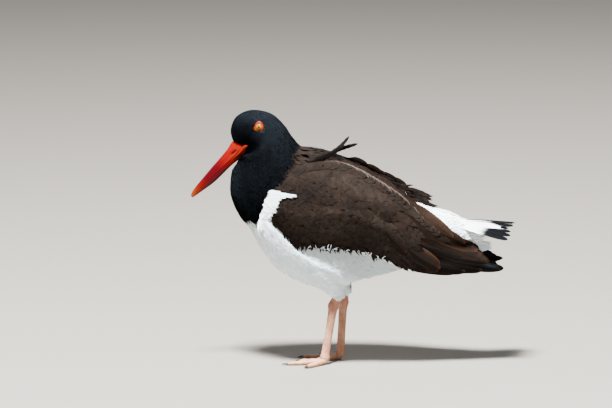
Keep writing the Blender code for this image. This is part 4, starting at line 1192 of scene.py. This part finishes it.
def laid_vanes(place_on, x, z, heading, length, width, rng, rows=9, columns=7, height=(-2.5, 0.5),
               bow=0.0, camber=0.08, roundness=5.0, ragged=0.04, root_width=0.4, tuck=0.3):
    """Feathers laid on a surface by their side view. A middle line leaves (x, z) at its heading
    and turns evenly by bow. The half width grows from its share at the root to all of it at 0.45
    of the length, times the root of (1 - u to the power of roundness). The height rises as u to
    the 0.6, less camber times the width times v squared, and is tucked in at the tip."""
    count = len(x)
    u = (1 - (1 - np.linspace(0, 1, rows)) ** 1.4)[None, :, None]
    v = np.linspace(-1, 1, columns)[None, None, :]
    x, z, length, width, heading, bow, low, high = (
        np.broadcast_to(n, (count,))[:, None, None]
        for n in (x, z, length, width, heading, bow, height[0], height[1]))
    f = np.clip(u / 0.45, 0, 1)
    grow = root_width + (1 - root_width) * f * f * (3 - 2 * f)
    half = width / 2 * grow * np.sqrt(1.01 - u**roundness)
    along = length * (u + ragged * rng.normal(0, 1, (count, 1, columns)) * u**6)
    chord, turned = heading + bow * u / 2, heading + bow * u
    px = x + along * np.cos(chord) - half * v * np.sin(turned)
    pz = z + along * np.sin(chord) + half * v * np.cos(turned)
    lift = low + (high - low) * u**0.6 - camber * width * grow * v**2 - tuck * u**8
    lift = lift + rng.normal(0, 0.12, (count, 1, 1)) * u
    return place_on(px, pz, lift), u, v


def vane_shades(count, u, v, centre, fringe, amount, rng, spread=0.09, shaft=0.0, root_shade=0.38):
    """Colours of laid vanes: the centre colour, with painted shade at the root, darker along the shaft,
    turning to the fringe colour towards the edges and the tip; each feather a little lighter or darker."""
    edge = np.clip((np.maximum(np.abs(v), u**5) - 0.60) / 0.40, 0, 1) ** 1.6
    amount = np.broadcast_to(amount, (count,))[:, None, None]
    edge = (edge * amount)[..., None]
    centre = np.broadcast_to(centre, (count, 3))[:, None, None, :]
    light = 1 + rng.normal(0, spread, (count, 1, 1))
    # Painted shade: each vane is darker towards its root, under the feather before it.
    shade = (1 - root_shade * (1 - u)) * light * (1 - shaft * np.exp(-((v / 0.10) ** 2)))
    return np.clip((centre * (1 - edge) + fringe * edge) * shade[..., None], 0, 1)


def staggered(columns, rows, rng, jitter=0.32):
    """Shares (a, b) of a grid of places, every second row moved by half a step, with jitter."""
    i, k = np.meshgrid(np.arange(columns), np.arange(rows), indexing="ij")
    a = (i + 0.5 + 0.5 * (k % 2) + rng.uniform(-jitter, jitter, i.shape)) / (columns + 0.5)
    b = (k + 0.5 + rng.uniform(-jitter, jitter, i.shape)) / rows
    return a.ravel(), b.ravel()


WING_TONE_AND_HIGHLIGHT = (  # x, z, reach along, reach up, how much lighter (or darker) the wing is painted there; the lighter band along the scapulars' edge is a painted highlight
    (-40, 187, 34, 6, 0.55), (8, 183, 26, 5, 0.30), (-12, 198, 26, 5, -0.42), (24, 190, 22, 6, -0.40),
    (-66, 208, 20, 12, -0.48), (14, 214, 14, 9, 0.45), (-34, 222, 22, 7, 0.15), (-62, 166, 16, 8, -0.10),
    (46, 186, 14, 8, 0.05), (40, 150, 14, 12, 0.22), (-6, 152, 34, 9, -0.22), (30, 200, 14, 8, -0.15),
)


def wing_tone_and_highlight(x, z):
    """How light the wing is painted over the side view: 1 plus soft oval patches, with a painted highlight
    along the scapulars' edge.
    """
    light = np.ones_like(x)
    for middle_x, middle_z, along, up, amount in WING_TONE_AND_HIGHLIGHT:
        light = light + amount * np.exp(-(((x - middle_x) / along) ** 2) - ((z - middle_z) / up) ** 2)
    return light[:, None]


def blotch(x, z, size):
    """A smooth uneven value from -1 to 1 over the side view, from three crossed waves."""
    return (np.sin(x / size + 1.3 * np.sin(z / size)) + np.sin(z / size * 1.3 + 2.1 * np.sin(x / size * 0.7))
            + np.sin((x + z) / size * 0.8)) / 3


def mixed(first, second, share):
    """Colours between two, by a share for each."""
    return first + (second - first) * np.clip(share, 0, 1)[:, None]


def wing_coverts(side):
    """The lower wing: small coverts from the scapulars' edge down, larger to the rear, the last
    row hanging just past the wing's lower edge."""
    rng = np.random.default_rng(40 + side)
    a, b = staggered(34, 17, rng)
    x = -96 + 162 * a**1.04
    high = smooth_line(SCAPULAR_EDGE, x) + 4
    length = 11.5 + 9.0 * a
    flow = np.radians(smooth_line(LOWER_FLOW, x))
    low = smooth_line(COVERT_EDGE, x + 0.5 * length * np.cos(flow)) + 0.92 * length * np.abs(np.sin(flow))
    z = high + b * (low - high)
    heading = wing_flow(x, z) + rng.normal(0, 0.13, len(x))
    width = 6.4 + 4.2 * a + rng.normal(0, 0.6, len(x))
    points, u, v = laid_vanes(partial(on_wing, side=side), x, z, heading,
                              length * rng.uniform(0.88, 1.12, len(x)), width, rng, 9, 7,
                              height=(-1.3, 0.15), bow=rng.normal(0, 0.16, len(x)), ragged=0.10,
                              camber=0.018, tuck=0.6, roundness=3.0)
    down = wing_share(x, z)
    centre = mixed(COVERT, LOW_COVERT, (down - 0.45) * 2.2 + 0.35 * blotch(x, z, 9))
    centre = mixed(centre, WARM_BROWN * 0.5, 0.5 * np.clip(blotch(x + 40, z, 13), 0, 1)) * wing_tone_and_highlight(x, z)
    colour = vane_shades(len(x), u, v, centre, RUFOUS * 0.22, 0.15 + 0.25 * rng.random(len(x)), rng,
                         spread=0.14, root_shade=0.12)
    lay_coat(f"wing_coverts_{WORD[side]}", points, u, v, colour, BROWN_COAT, "brown_plumage")


def scapulars(side):
    """The upper wing: broad round scapulars, smaller and warmer in front, down to their edge."""
    rng = np.random.default_rng(50 + side)
    a, b = staggered(28, 11, rng)
    x = -92 + 151 * a
    high = smooth_line(WING_TOP, np.maximum(x, -84)) - 1.5
    length = 12 + 17 * np.clip(a * 1.5, 0, 1)
    flow = np.abs(wing_flow(x, smooth_line(SCAPULAR_EDGE, x) + 6))
    low = smooth_line(SCAPULAR_EDGE, x) + 0.55 * length * np.sin(flow)
    z = high + b * (low - high)
    heading = wing_flow(x, z) + rng.normal(0, 0.09, len(x))
    width = 7.0 + 6.0 * np.clip(a * 1.5, 0, 1) + rng.normal(0, 0.8, len(x))
    keep = (x < 62) & (z > low - 3)
    x, z, heading, length, width, a = (n[keep] for n in (x, z, heading, length, width, a))
    points, u, v = laid_vanes(partial(on_wing, side=side), x, z, heading,
                              length * rng.uniform(0.9, 1.1, len(x)), width, rng, 11, 9,
                              height=(-0.9, 0.3), bow=rng.normal(-0.05, 0.14, len(x)), ragged=0.10,
                              camber=0.012, tuck=0.55, roundness=3.0)
    centre = mixed(SCAPULAR, WARM_BROWN, 0.45 + 0.9 * blotch(x, z, 12) - 0.2 * (a > 0.3))
    centre = mixed(centre, COVERT, 0.8 * (wing_share(x, z) - 0.42) * 3) * wing_tone_and_highlight(x, z)
    colour = vane_shades(len(x), u, v, centre, RUFOUS * 0.42, 0.10 + 0.25 * rng.random(len(x)), rng,
                         spread=0.12, root_shade=0.05)
    lay_coat(f"scapulars_{WORD[side]}", points, u, v, colour, BROWN_COAT, "brown_plumage")


EDGE_RISE = {LEFT: 1.9, RIGHT: 0.5}
BRIDGE_WIDTH = 20.0


def edge_scapulars(side):
    """The row along the wing's upper edge, each feather's upper fringe thin and pale."""
    rng = np.random.default_rng(60 + side)
    x = np.linspace(-74, 92 if side == LEFT else 64, 36) + rng.uniform(-1.5, 1.5, 36)
    z = smooth_line(WING_TOP, x)
    slope = np.arctan2(smooth_line(WING_TOP, x + 12) - z, 12)
    points, u, v = laid_vanes(partial(on_wing, side=side), x, z - 4.2, slope + 0.03,
                              rng.uniform(20, 25, 36), 9.5, rng, 12, 9, height=(-2.0, EDGE_RISE[side]),
                              bow=-0.06, ragged=0.05, camber=0.03, roundness=3.5)
    colour = vane_shades(36, u, v, SCAPULAR * 0.9, RUFOUS * 0.4, 0.25, rng)
    shown = 0.36 * np.interp(x, (-42, -20, 30, 74), (0, 1, 1, 0.6))[:, None, None]
    pale = (shown * np.clip((v - 0.80) / 0.18, 0, 1) * np.clip(u * 3, 0, 1))[..., None]
    colour = colour * (1 - pale) + PALE_FRINGE * 1.5 * pale
    lay_coat(f"edge_scapulars_{WORD[side]}", points, u, v, colour, BROWN_COAT, "brown_plumage")


def back_scapulars(side):
    """The inner scapulars, which bridge the hollow between the wing's upper edge and the back: the
    sheet runs straight from the edge inwards to the back's ridge, over BRIDGE_WIDTH."""
    rng = np.random.default_rng(65 + side)
    a, b = staggered(15, 5, rng)
    count = len(a)

    def bridge(px, inwards, h):
        lift = smooth_line(RIGHT_WING_LIFT, px) if side == RIGHT else 0.0
        edge = smooth_line(WING_TOP, px)
        ridge = np.interp(px, BODY_STATIONS[7:, 0], BODY_STATIONS[7:, 1])
        share = np.clip(inwards / BRIDGE_WIDTH, 0, 1)
        out = read_map(WING_SURFACE, px, edge) * (1 - share) + 2.0 * share
        return np.stack([px, side * out, (edge - 2.5 + lift) * (1 - share) + ridge * share + h], axis=-1)

    points, u, v = laid_vanes(bridge, -48 + 108 * a, 1 + 18 * b, -0.10 + rng.normal(0, 0.06, count),
                              rng.uniform(18, 25, count), rng.uniform(7, 10, count), rng, 9, 7,
                              height=(-1.5, 0.8), bow=rng.normal(0, 0.1, count), ragged=0.06,
                              camber=0.02, roundness=3.0, tuck=0.4)
    # Their sooty share is painted shade of the hollow between the wing's edge and the back.
    centre = mixed(SOOT_AND_SHADE, COVERT, rng.uniform(0.3, 0.9, count))
    colour = vane_shades(count, u, v, centre, RUFOUS * 0.4, 0.2, rng, root_shade=0.2)
    lay_coat(f"back_scapulars_{WORD[side]}", points, u, v, colour, BROWN_COAT, "brown_plumage")


SHOULDER_REAR_EDGE = (  # z, x: how far back the white tufts reach over the front of the wing
    (168, -99.5), (171, -97.5), (179, -92.5), (188, -87.5), (195, -85), (198.8, -83),
    (200.2, -71), (201.2, -60), (202.2, -66), (203.4, -80), (206, -87),
)


def shoulder_tufts(side):
    """Bright white tufts of the breast's side, which lie over the bend of the wing as a bar with
    a short finger at its top."""
    rng = np.random.default_rng(70 + side)
    count = 680
    z = rng.uniform(168, 205.5, count)
    rear = np.interp(z, *np.transpose(SHOULDER_REAR_EDGE))
    length = rng.uniform(6.0, 10.0, count)
    front = np.interp(z, (170, 187, 202), (-107, -102, -97.5)) + rng.normal(0, 1.2, count)
    x = rng.uniform(front, np.maximum(rear - rng.uniform(0.8, 1.3, count) * length, front + 1))
    loose = np.interp(z, (195, 199), (0.2, 0.07))
    heading = np.interp(z, (168, 185, 197, 200), (-1.25, -0.80, -0.45, -0.05))
    heading = heading + loose * rng.normal(0, 1, count)
    lift = np.interp(x, (-106, -97, -88), (-2.0, 0.3, 1.6))
    points, u, v = laid_vanes(partial(on_wing, side=side), x, z, heading, length,
                              rng.uniform(2.4, 4.0, count) * np.interp(z, (196, 200), (1, 0.5)), rng, 7, 5,
                              height=(lift - 2.0, lift + 0.3), ragged=0.10, camber=0.03, roundness=2.4,
                              bow=loose * rng.normal(0, 1, count), tuck=0.5)
    colour = vane_shades(count, u, v, WHITE, WHITE, 0.0, rng, spread=0.015, root_shade=0.03)
    lay_coat(f"shoulder_tufts_{WORD[side]}", points, u, v, colour, WHITE_COAT, "white_plumage")


def white_wisps(side):
    """A few thin white wisps of the flank that curl up over the wing's lower edge."""
    rng = np.random.default_rng(85 + side)
    count = 26
    x = rng.uniform(-66, 46, count)
    z = smooth_line(COVERT_EDGE, x) - 2.5
    heading = np.radians(rng.normal(95, 38, count))
    points, u, v = laid_vanes(partial(on_wing, side=side), x, z, heading,
                              rng.uniform(3.5, 6.5, count), rng.uniform(0.5, 1.0, count), rng, 9, 4,
                              height=(-0.6, 0.8), ragged=0.05, roundness=1.6, bow=rng.normal(0, 1.3, count))
    colour = vane_shades(count, u, v, WHITE * 0.5, WHITE, 0.0, rng, root_shade=0.1)
    lay_coat(f"white_wisps_{WORD[side]}", points, u, v, colour, WHITE_COAT, "white_plumage")


def wing_edge_strands(side):
    """Loose dark strands that hang from the wing's lower edge over the flank."""
    rng = np.random.default_rng(80 + side)
    count, at_front = 190, 40
    x = np.concatenate([rng.uniform(-82, -68, at_front), rng.uniform(-72, 52, count - at_front)])
    z = smooth_line(COVERT_EDGE, x) + rng.uniform(4, 9, count)
    heading = np.radians(rng.normal(-76, 13, count) + np.clip(x, 0, 60) * 0.35)
    heading[:at_front] += math.radians(36)
    points, u, v = laid_vanes(partial(on_wing, side=side), x, z, heading,
                              rng.uniform(7, 12.5, count), rng.uniform(1.8, 3.6, count), rng, 7, 4,
                              height=(-2.0, 0.2), ragged=0.10, roundness=2.0, bow=rng.normal(0, 0.4, count))
    colour = vane_shades(count, u, v, LOW_COVERT, RUFOUS * 0.3, 0.2, rng, root_shade=0.2)
    lay_coat(f"wing_edge_strands_{WORD[side]}", points, u, v, colour, BROWN_COAT, "brown_plumage")


for side in (LEFT, RIGHT):
    for lay in (wing_coverts, scapulars, edge_scapulars, back_scapulars, shoulder_tufts,
                wing_edge_strands, white_wisps):
        lay(side)


# Flank: long silky white feathers that sweep from the side of the breast back over the thigh and
# along under the wing, as one smooth band with no step where the thigh leaves the body.
FLANK_FLOW = ((-118, -74), (-92, -64), (-76, -50), (-56, -37), (-34, -30), (-12, -34), (5, -24), (18, -15),
              (60, -8))  # x, heading in degrees
FLANK_COUNT = 1700
FLANK_ROLL = ((-114, 192), (-94, 166), (-76, 149), (-60, 134), (-22, 114), (-2, 101))  # its edge, x, z
FLANK_ROLL_EDGE, FLANK_ROLL_RISE = 2.2, 5.0
FLANK_WING_SHADE = 0.42  # how much greyer the white is painted behind the roll, as shade under the wing
FLANK_ROOTS_OUT, FLANK_TIPS_OUT = 19, 12  # least reach out of the surface under them


def flank_map(side):
    """How far out the body's or the thigh's surface stands over the side view, whichever is more,
    averaged with the neighbouring points, plus the roll of loose feathers along the breast's
    side. The thigh is an ellipse round its slanting middle."""
    x, z = np.meshgrid(MAP_X, MAP_Z, indexing="ij")
    body_out = body_half_width(x, z).reshape(x.shape)
    hip, cuff = (np.array(p) for p in THIGHS[side])
    run = (cuff - hip)[[0, 2]]
    along = ((x - hip[0]) * run[0] + (z - hip[2]) * run[1]) / (run @ run)
    off = ((x - hip[0]) * run[1] - (z - hip[2]) * run[0]) / np.hypot(*run)
    long, wide = np.moveaxis(through_stations(THIGH_RADII.astype(float), np.clip(along, 0, 1) * 4), -1, 0)
    middle = np.abs(hip[1] + (cuff[1] - hip[1]) * along)
    thigh_out = (middle + wide * np.sqrt(np.clip(1 - (off / long) ** 2, 0, 1))) * (np.abs(off) < long)
    out = np.maximum(body_out, thigh_out * (along > -0.1) * (along < 1.02))
    raw = out.copy()
    for _ in range(6):
        out[1:-1] = (out[:-2] + 2 * out[1:-1] + out[2:]) / 4
        out[:, 1:-1] = (out[:, :-2] + 2 * out[:, 1:-1] + out[:, 2:]) / 4
    roll = FLANK_ROLL_RISE / (1 + np.exp((z - smooth_line(FLANK_ROLL, x)) / FLANK_ROLL_EDGE))
    ends = np.clip((x + 114) / 16, 0, 1) * np.clip((2 - x) / 14, 0, 1) * np.clip((raw - 10) / 20, 0, 1)
    return np.maximum(out, raw + 0.4) + roll * ends


for side in (LEFT, RIGHT):
    rng = np.random.default_rng(35 + side)
    reach_out = flank_map(side)
    x, z = rng.uniform(-120, 62, 9 * FLANK_COUNT), rng.uniform(84, 186, 9 * FLANK_COUNT)
    at, share, on_loft = crossing_section(x, z)
    hood, mantle = markings(at - 0.25, np.arccos(1 - 2 * share))
    white = ~(on_loft & (hood | mantle))
    under_wing = (x > -88) & (z > smooth_line(WING_BOTTOM, x) + 14)
    thigh_x = THIGHS[side][1][0]
    kept = white & ~under_wing & (read_map(reach_out, x, z) > FLANK_ROOTS_OUT)
    x, z = x[kept][:FLANK_COUNT], z[kept][:FLANK_COUNT]
    count = len(x)
    to_cuff = np.clip((112 - z) / 20, 0, 1) * np.exp(-(((x - thigh_x) / 16) ** 2))
    heading = smooth_line(FLANK_FLOW, x) * (1 - to_cuff) - 78 * to_cuff
    length = rng.uniform(17, 25, count) * (1 - 0.45 * to_cuff) * np.clip((z - 76) / 26, 0.35, 1)
    heading = np.radians(heading + rng.normal(0, 4, count))
    tip_out = read_map(reach_out, x + length * np.cos(heading), z + length * np.sin(heading))
    x, z, heading, length = (n[tip_out > FLANK_TIPS_OUT] for n in (x, z, heading, length))
    count = len(x)
    points, u, v = laid_vanes(
        lambda px, pz, h: np.stack([px, side * (read_map(reach_out, px, pz) + h), pz], axis=-1), x, z,
        heading, length, rng.uniform(4.5, 7, count), rng, 9, 5,
        height=(-1.6, 0.5), bow=rng.normal(0.05, 0.08, count), ragged=0.10, camber=0.01, roundness=2.2,
        tuck=0.5)
    # Painted shade: the white is greyer behind the roll, under the wing.
    shaded = 1 / (1 + np.exp(-(z - smooth_line(FLANK_ROLL, x)) / 3.0))
    centre = WHITE * (1 - FLANK_WING_SHADE * shaded[:, None])
    colour = vane_shades(count, u, v, centre, WHITE, 0.0, rng, spread=0.012, root_shade=0.02)
    lay_coat(f"flank_coat_{WORD[side]}", points, u, v, colour, WHITE_COAT, "white_plumage")


# Long wing feathers: tertials over secondaries and primaries, stiff smooth vanes with a raised
# shaft, brown with rufous edges, the outermost black at their tips. A fan of plainer, darker quills
# lies under them, their darkness partly their own and partly painted shade.
QUILL_BROWN = np.array((0.0066, 0.0036, 0.0022))
LONG_FEATHERS = (
    # root x, z, tip x, z, width, height, bow, colour, fringe, x where it turns black
    ((66, 141), (151, 112.5), 13, -1.3, 0.22, 0.20, 0.3, 139),
    ((92, 128), (172.4, 111.5), 12, -0.9, 0.30, 0.20, 0.3, 146),
    ((80, 131), (166, 113), 12, -0.6, 0.26, 0.24, 0.4, 145),
    ((70, 128), (148, 110.5), 13, -0.3, 0.20, 0.28, 0.4, 400),
    ((62, 126), (128, 109.8), 14, 0.0, 0.16, 0.28, 0.4, 400),
    ((58, 150), (157, 119.5), 13, -0.2, 0.20, 0.22, 0.3, 400),
    ((70, 152), (155, 121.8), 12, 0.4, 0.14, 0.72, 0.8, 400),
    ((54, 164), (148, 128.0), 15, 0.6, 0.20, 0.62, 0.5, 400),
    ((56, 172), (143.9, 133.6), 17, 1.2, 0.20, 0.98, 0.9, 400),
    ((50, 184), (128, 141.5), 17, 1.5, 0.14, 0.90, 0.8, 400),
    ((50, 194), (114.4, 149.5), 16, 2.1, -0.06, 1.75, 1.3, 400),
    ((34, 150), (86, 113.5), 22, 0.3, 0.30, 0.62, 0.5, 400),
    ((48, 152), (99, 114.0), 25, 0.9, 0.42, 0.92, 0.9, 400),
    ((24, 160), (66, 117.5), 19, 0.2, 0.22, 0.58, 0.5, 400),
    ((28, 170), (60, 134.0), 17, 0.9, 0.15, 0.80, 0.8, 400),
)
UNDER_QUILLS = 14
LONG_ROWS, LONG_COLUMNS = 40, 15
SHAFT = 0.22 * np.exp(-((np.linspace(-1, 1, LONG_COLUMNS) / 0.09) ** 2))[None, None, :]
QUILL_COAT = feather_material("quill_vanes", 0.5, barbs=90.0, strength=0.5, speckle=0.15,
                              Specular_IOR_Level=0.035)


def lay_long_feathers(side, specs, name, height_shift, rng, *nodes):
    """Long vanes from their specs: the heading and length follow from root, tip and bow."""
    root = np.array([s[0] for s in specs], float)
    tip = np.array([s[1] for s in specs], float)
    width, rise, bow, light, fringe, black = (np.array([s[k] for s in specs], float) for k in range(2, 8))
    run = tip - root
    heading = np.arctan2(run[:, 1], run[:, 0]) - bow / 2
    count = len(specs)
    points, u, v = laid_vanes(
        lambda px, pz, h: on_wing(px, pz, h + SHAFT, side), root[:, 0], root[:, 1], heading,
        np.hypot(*run.T), width, rng, LONG_ROWS, LONG_COLUMNS, bow=bow, camber=0.075, roundness=6.0,
        height=(rise - 2.2 + height_shift, rise + height_shift), ragged=0.004, root_width=0.5)
    centre = QUILL_BROWN * light[:, None]
    colour = vane_shades(count, u, v, centre, RUFOUS * 0.75, np.clip(fringe, 0, 1) * 0.8, rng, spread=0.04,
                         shaft=0.35, root_shade=0.45)
    x = points[..., 0]
    dark = np.clip((x - black[:, None, None]) / 5 + 0.5, 0, 1)[..., None]
    colour = colour * (1 - dark) + BLACK * 0.7 * dark
    lay_coat(f"{name}_{WORD[side]}", points, u, v, colour, QUILL_COAT, "quill_plumage", *nodes)


for side in (LEFT, RIGHT):
    rng = np.random.default_rng(90 + side)
    lay_long_feathers(side, LONG_FEATHERS, "long_wing_feathers", 0.0, rng,
                      f"tertials_{WORD[side]}", f"primaries_{WORD[side]}")
    share = np.linspace(0, 1, UNDER_QUILLS)
    root_z = 184 - 62 * share
    tip_x = np.interp(share, (0, 0.2, 0.4, 0.6, 0.8, 1), (112, 134, 150, 164, 168, 120))
    tip_z = np.interp(share, (0, 0.2, 0.4, 0.6, 0.8, 1), (147, 137, 127, 117, 112, 109.5))
    # The quills' dark colour is partly their own and partly painted shade under the long feathers.
    under = [((50.0, rz), (tx, tz), 14, -1.6, 0.12, 0.40, 0.2, 146.0)
             for rz, tx, tz in zip(root_z, tip_x, tip_z)]
    lay_long_feathers(side, under, "under_quills", -1.2, rng)


# Lifted scapulars of the right side: the wind holds them above the back as a dark ragged crest, its darkness
# partly their own brown and partly painted shade.
CREST_TOP = ((-20, 238), (0, 231.5), (24, 219.5), (33, 216), (47, 208.5), (60, 204), (71, 201),
             (78, 197), (86, 189), (93, 182.5))
CREST_SEAT = 7.0


def on_crest(x, z, height):
    """Points of the crest: an upright sheet that leans out towards its upper edge."""
    share = np.clip(1 - (smooth_line(CREST_TOP, x) - z) / 26.0, 0, 1.2)
    return np.stack([x, CREST_SEAT + 3.0 * share - height * 0.8, z], axis=-1)


rng = np.random.default_rng(7)
count = 210
x = rng.uniform(-22, 80, count)
depth = rng.random(count) ** 0.9
z = smooth_line(CREST_TOP, x) + np.interp(x, (0, 40, 80), (-2.6, 1.2, 0.6)) - depth * np.interp(
    x, (-14, 24, 60, 80), (6, 13, 24, 15))
slope = np.arctan2(smooth_line(CREST_TOP, x + 8) - smooth_line(CREST_TOP, x), 8)
heading = slope + rng.normal(0.0, 0.10, count) - 0.08 * depth
length = np.minimum(rng.uniform(13, 24, count), (94 + rng.uniform(-9, 1, count) - x) / np.cos(heading))
keep = length > 7
x, z, heading, length, depth = (n[keep] for n in (x, z, heading, length, depth))
count = len(x)
points, u, v = laid_vanes(on_crest, x, z, heading, length, rng.uniform(2.6, 5.6, count), rng, 10, 6,
                          height=(-1.6, 1.2), bow=rng.normal(0.10, 0.18, count), ragged=0.09,
                          roundness=2.2, camber=0.04)
# The sooty share, most in front, is painted shade on the far scapulars; the rest is their brown.
colour = vane_shades(count, u, v, mixed(SOOT_AND_SHADE, SCAPULAR * 1.3, rng.random(count) * np.clip(x / 50, 0.1, 1)),
                     RUFOUS * 0.35, 0.25, rng, spread=0.2)
lay_coat("lifted_scapulars", points, u, v, colour, BROWN_COAT, "quill_plumage", "scapular_crest")

DOWN_TUFTS = ((47.0, 197.5), (50.0, 196.5), (53.0, 194.5))
rng = np.random.default_rng(8)


def on_ridge(x, z, height):
    """Points of the down tufts, each feather somewhere across the back's ridge."""
    return np.stack([x, 3.0 - 5 * rng.random((len(x), 1, 1)) - height, z], axis=-1)


spots = np.repeat(np.array(DOWN_TUFTS), 6, axis=0)
x, z = spots[:, 0] + rng.normal(0, 2.2, len(spots)), spots[:, 1] + rng.normal(0, 1.2, len(spots))
points, u, v = laid_vanes(on_ridge, x, z - 3, np.radians(rng.normal(35, 45, len(x))),
                          rng.uniform(3.5, 6.5, len(x)), rng.uniform(0.8, 1.6, len(x)), rng, 6, 4,
                          height=(0, 0.8), ragged=0.1, roundness=2.0, bow=rng.normal(0, 0.9, len(x)))
colour = vane_shades(len(x), u, v, WHITE * 0.9, WHITE, 0.0, rng, spread=0.05, root_shade=0.2)
lay_coat("down_tufts", points, u, v, colour, WHITE_COAT, "white_plumage")


# Two lone feathers that stand up behind the neck: slim dark vanes on long curved shafts.
LIFTED_FEATHERS = {
    "lifted_feather_upper": ((-52, -35, 236.5), (-44, -32.5, 239.3), (-34, -27, 243.2), (-22, -14.5, 247.8),
                             (-13, -6, 253.9), (-5, 0, 262.7)),
    "lifted_feather_lower": ((-46, -29, 239.5), (-36, -25, 240.5), (-25, -13, 244.5), (-16, -4, 248.0),
                             (-6, 2, 250.6), (5, 6, 253.2)),
}
for name, points_on_path in LIFTED_FEATHERS.items():
    at = np.linspace(0, len(points_on_path) - 1, 44)
    path = through_stations(np.array(points_on_path, float), at)
    ahead = np.gradient(path, axis=0)
    ahead /= np.linalg.norm(ahead, axis=1)[:, None]
    up = np.cross(ahead, (0, 1.0, 0))
    share = np.linspace(0, 1, 44)[:, None]
    v = np.linspace(-1, 1, 11)
    half = 3.8 * np.sqrt(1.02 - share**9) * (1 - 0.42 * share) * np.clip(0.4 + 2.4 * share, 0, 1)
    half = half * (1 + 0.10 * np.sin(share * 60 + 9 * np.sign(v)) * np.abs(v) ** 3)
    points = (path[:, None] + (half * v)[..., None] * up[:, None]
              + ((0.5 * (1 - v**2) + 0.35 * np.exp(-((v / 0.12) ** 2))) * np.ones_like(share))[..., None]
              * np.array((0, -1.0, 0)))
    shade = (0.75 + 0.5 * np.abs(v)) * (1 - 0.2 * np.sin(share * 30))
    colour = SOOT_AND_SHADE * 1.7 * shade[..., None]
    lay_coat(name.replace("feather", "vane"), points[None], share[None], v[None, None], colour[None],
             QUILL_COAT, "quill_plumage", name)


# Tail: twelve feathers in a fan that arches down at its sides, white at the base and black at the
# end, with a gap on the near side, and long white coverts over and under their roots.
TAIL_ROOT = (98.0, 0.0, 166.5)
TAIL_LENGTH = 88.0
TAIL_SLOPE = math.radians(-4.5)
TAIL_HALF_ANGLE = math.radians(19.0)
TAIL_DROP = 15.0
TAIL_ROOT_HALF_WIDTH = 9.0
TAIL_FEATHERS = 12
TAIL_GAP = (-0.46, 0.09, 16.0)  # place across, half width, how much shorter
TAIL_RIDGE = 2.8
BLACK_BEGINS = (  # place across, distance
    (-1.0, 50), (-0.62, 53), (-0.52, 72), (-0.40, 76), (-0.30, 64), (-0.16, 56), (-0.06, 30),
    (0.06, 30), (0.3, 47), (1.0, 50),
)


def tail_place(across, distance, lift):
    """A point of the tail: its place across the fan (-1 to 1), distance from the root and lift.
    The sides of the fan drop with the square of the place across and with the distance."""
    turn = TAIL_HALF_ANGLE * across
    x = TAIL_ROOT[0] + distance * np.cos(turn)
    y = TAIL_ROOT[1] + across * TAIL_ROOT_HALF_WIDTH + distance * np.sin(turn)
    drop = TAIL_DROP * across**2 * distance / TAIL_LENGTH
    z = TAIL_ROOT[2] + distance * math.tan(TAIL_SLOPE) - drop + lift
    return np.stack(np.broadcast_arrays(x, y, z), axis=-1)


rng = np.random.default_rng(11)
middle = np.linspace(-0.93, 0.93, TAIL_FEATHERS)
reach = TAIL_LENGTH * (1 - 0.05 * middle**2) + rng.uniform(-2.5, 0, TAIL_FEATHERS)
reach = reach - TAIL_GAP[2] * np.exp(-(((middle - TAIL_GAP[0]) / TAIL_GAP[1]) ** 2))
u = np.linspace(0, 1, 40)[None, :, None]
v = np.linspace(-1, 1, 13)[None, None, :]
half = 0.125 * np.sqrt(1.01 - u**9) * (1 - 0.2 * u)
across = middle[:, None, None] + half * v
layer = (1.6 - 2.0 * np.abs(middle))[:, None, None]
lift = layer * 0.5 + 0.35 * v * np.sign(middle)[:, None, None] * -1 + 0.3 * np.exp(-((v / 0.1) ** 2))
lift = lift + TAIL_RIDGE * np.exp(-((middle[:, None, None] / 0.2) ** 2)) * np.clip(3 * u - 0.8, 0, 1)
points = tail_place(across, reach[:, None, None] * u, lift)
begins = np.interp(across, *np.transpose(BLACK_BEGINS)) + rng.normal(0, 1.5, (TAIL_FEATHERS, 1, 13))
dark = np.clip((reach[:, None, None] * u - begins) / 7 + 0.5, 0, 1)[..., None]
ashy = np.clip(np.exp(-((v - 0.2) ** 2) / 0.1) * 0.5 + 0.25 * u, 0, 1)[..., None]
colour = (WHITE * (1 - 0.45 * ashy)) * (1 - dark) + BLACK * 0.9 * dark
lay_coat("tail_feathers", points, u, v, colour, QUILL_COAT, "quill_plumage", "tail")

UNDER_TAIL_OUT = ((96, 130, 160), (19, 13, 6))  # x, half width

for side in (LEFT, RIGHT):
    rng = np.random.default_rng(95 + side)
    count = 34
    x, z = rng.uniform(96, 122, count), rng.uniform(125, 141, count)
    end_x, end_z = rng.uniform(146, 158, count), rng.uniform(132, 139, count)
    points, u, v = laid_vanes(
        lambda px, pz, h: np.stack([px, side * (np.interp(px, *UNDER_TAIL_OUT) + h), pz], axis=-1),
        x, z, np.arctan2(end_z - z, end_x - x), np.hypot(end_x - x, end_z - z), rng.uniform(5, 8, count), rng,
        12, 5, height=(-1.5, 0.8), bow=0.0, ragged=0.04, camber=0.03, roundness=2.6, tuck=0.3)
    colour = vane_shades(count, u, v, WHITE * 0.97, WHITE, 0.0, rng, spread=0.015, root_shade=0.05)
    lay_coat(f"under_tail_coverts_{WORD[side]}", points, u, v, colour, WHITE_COAT, "white_plumage")
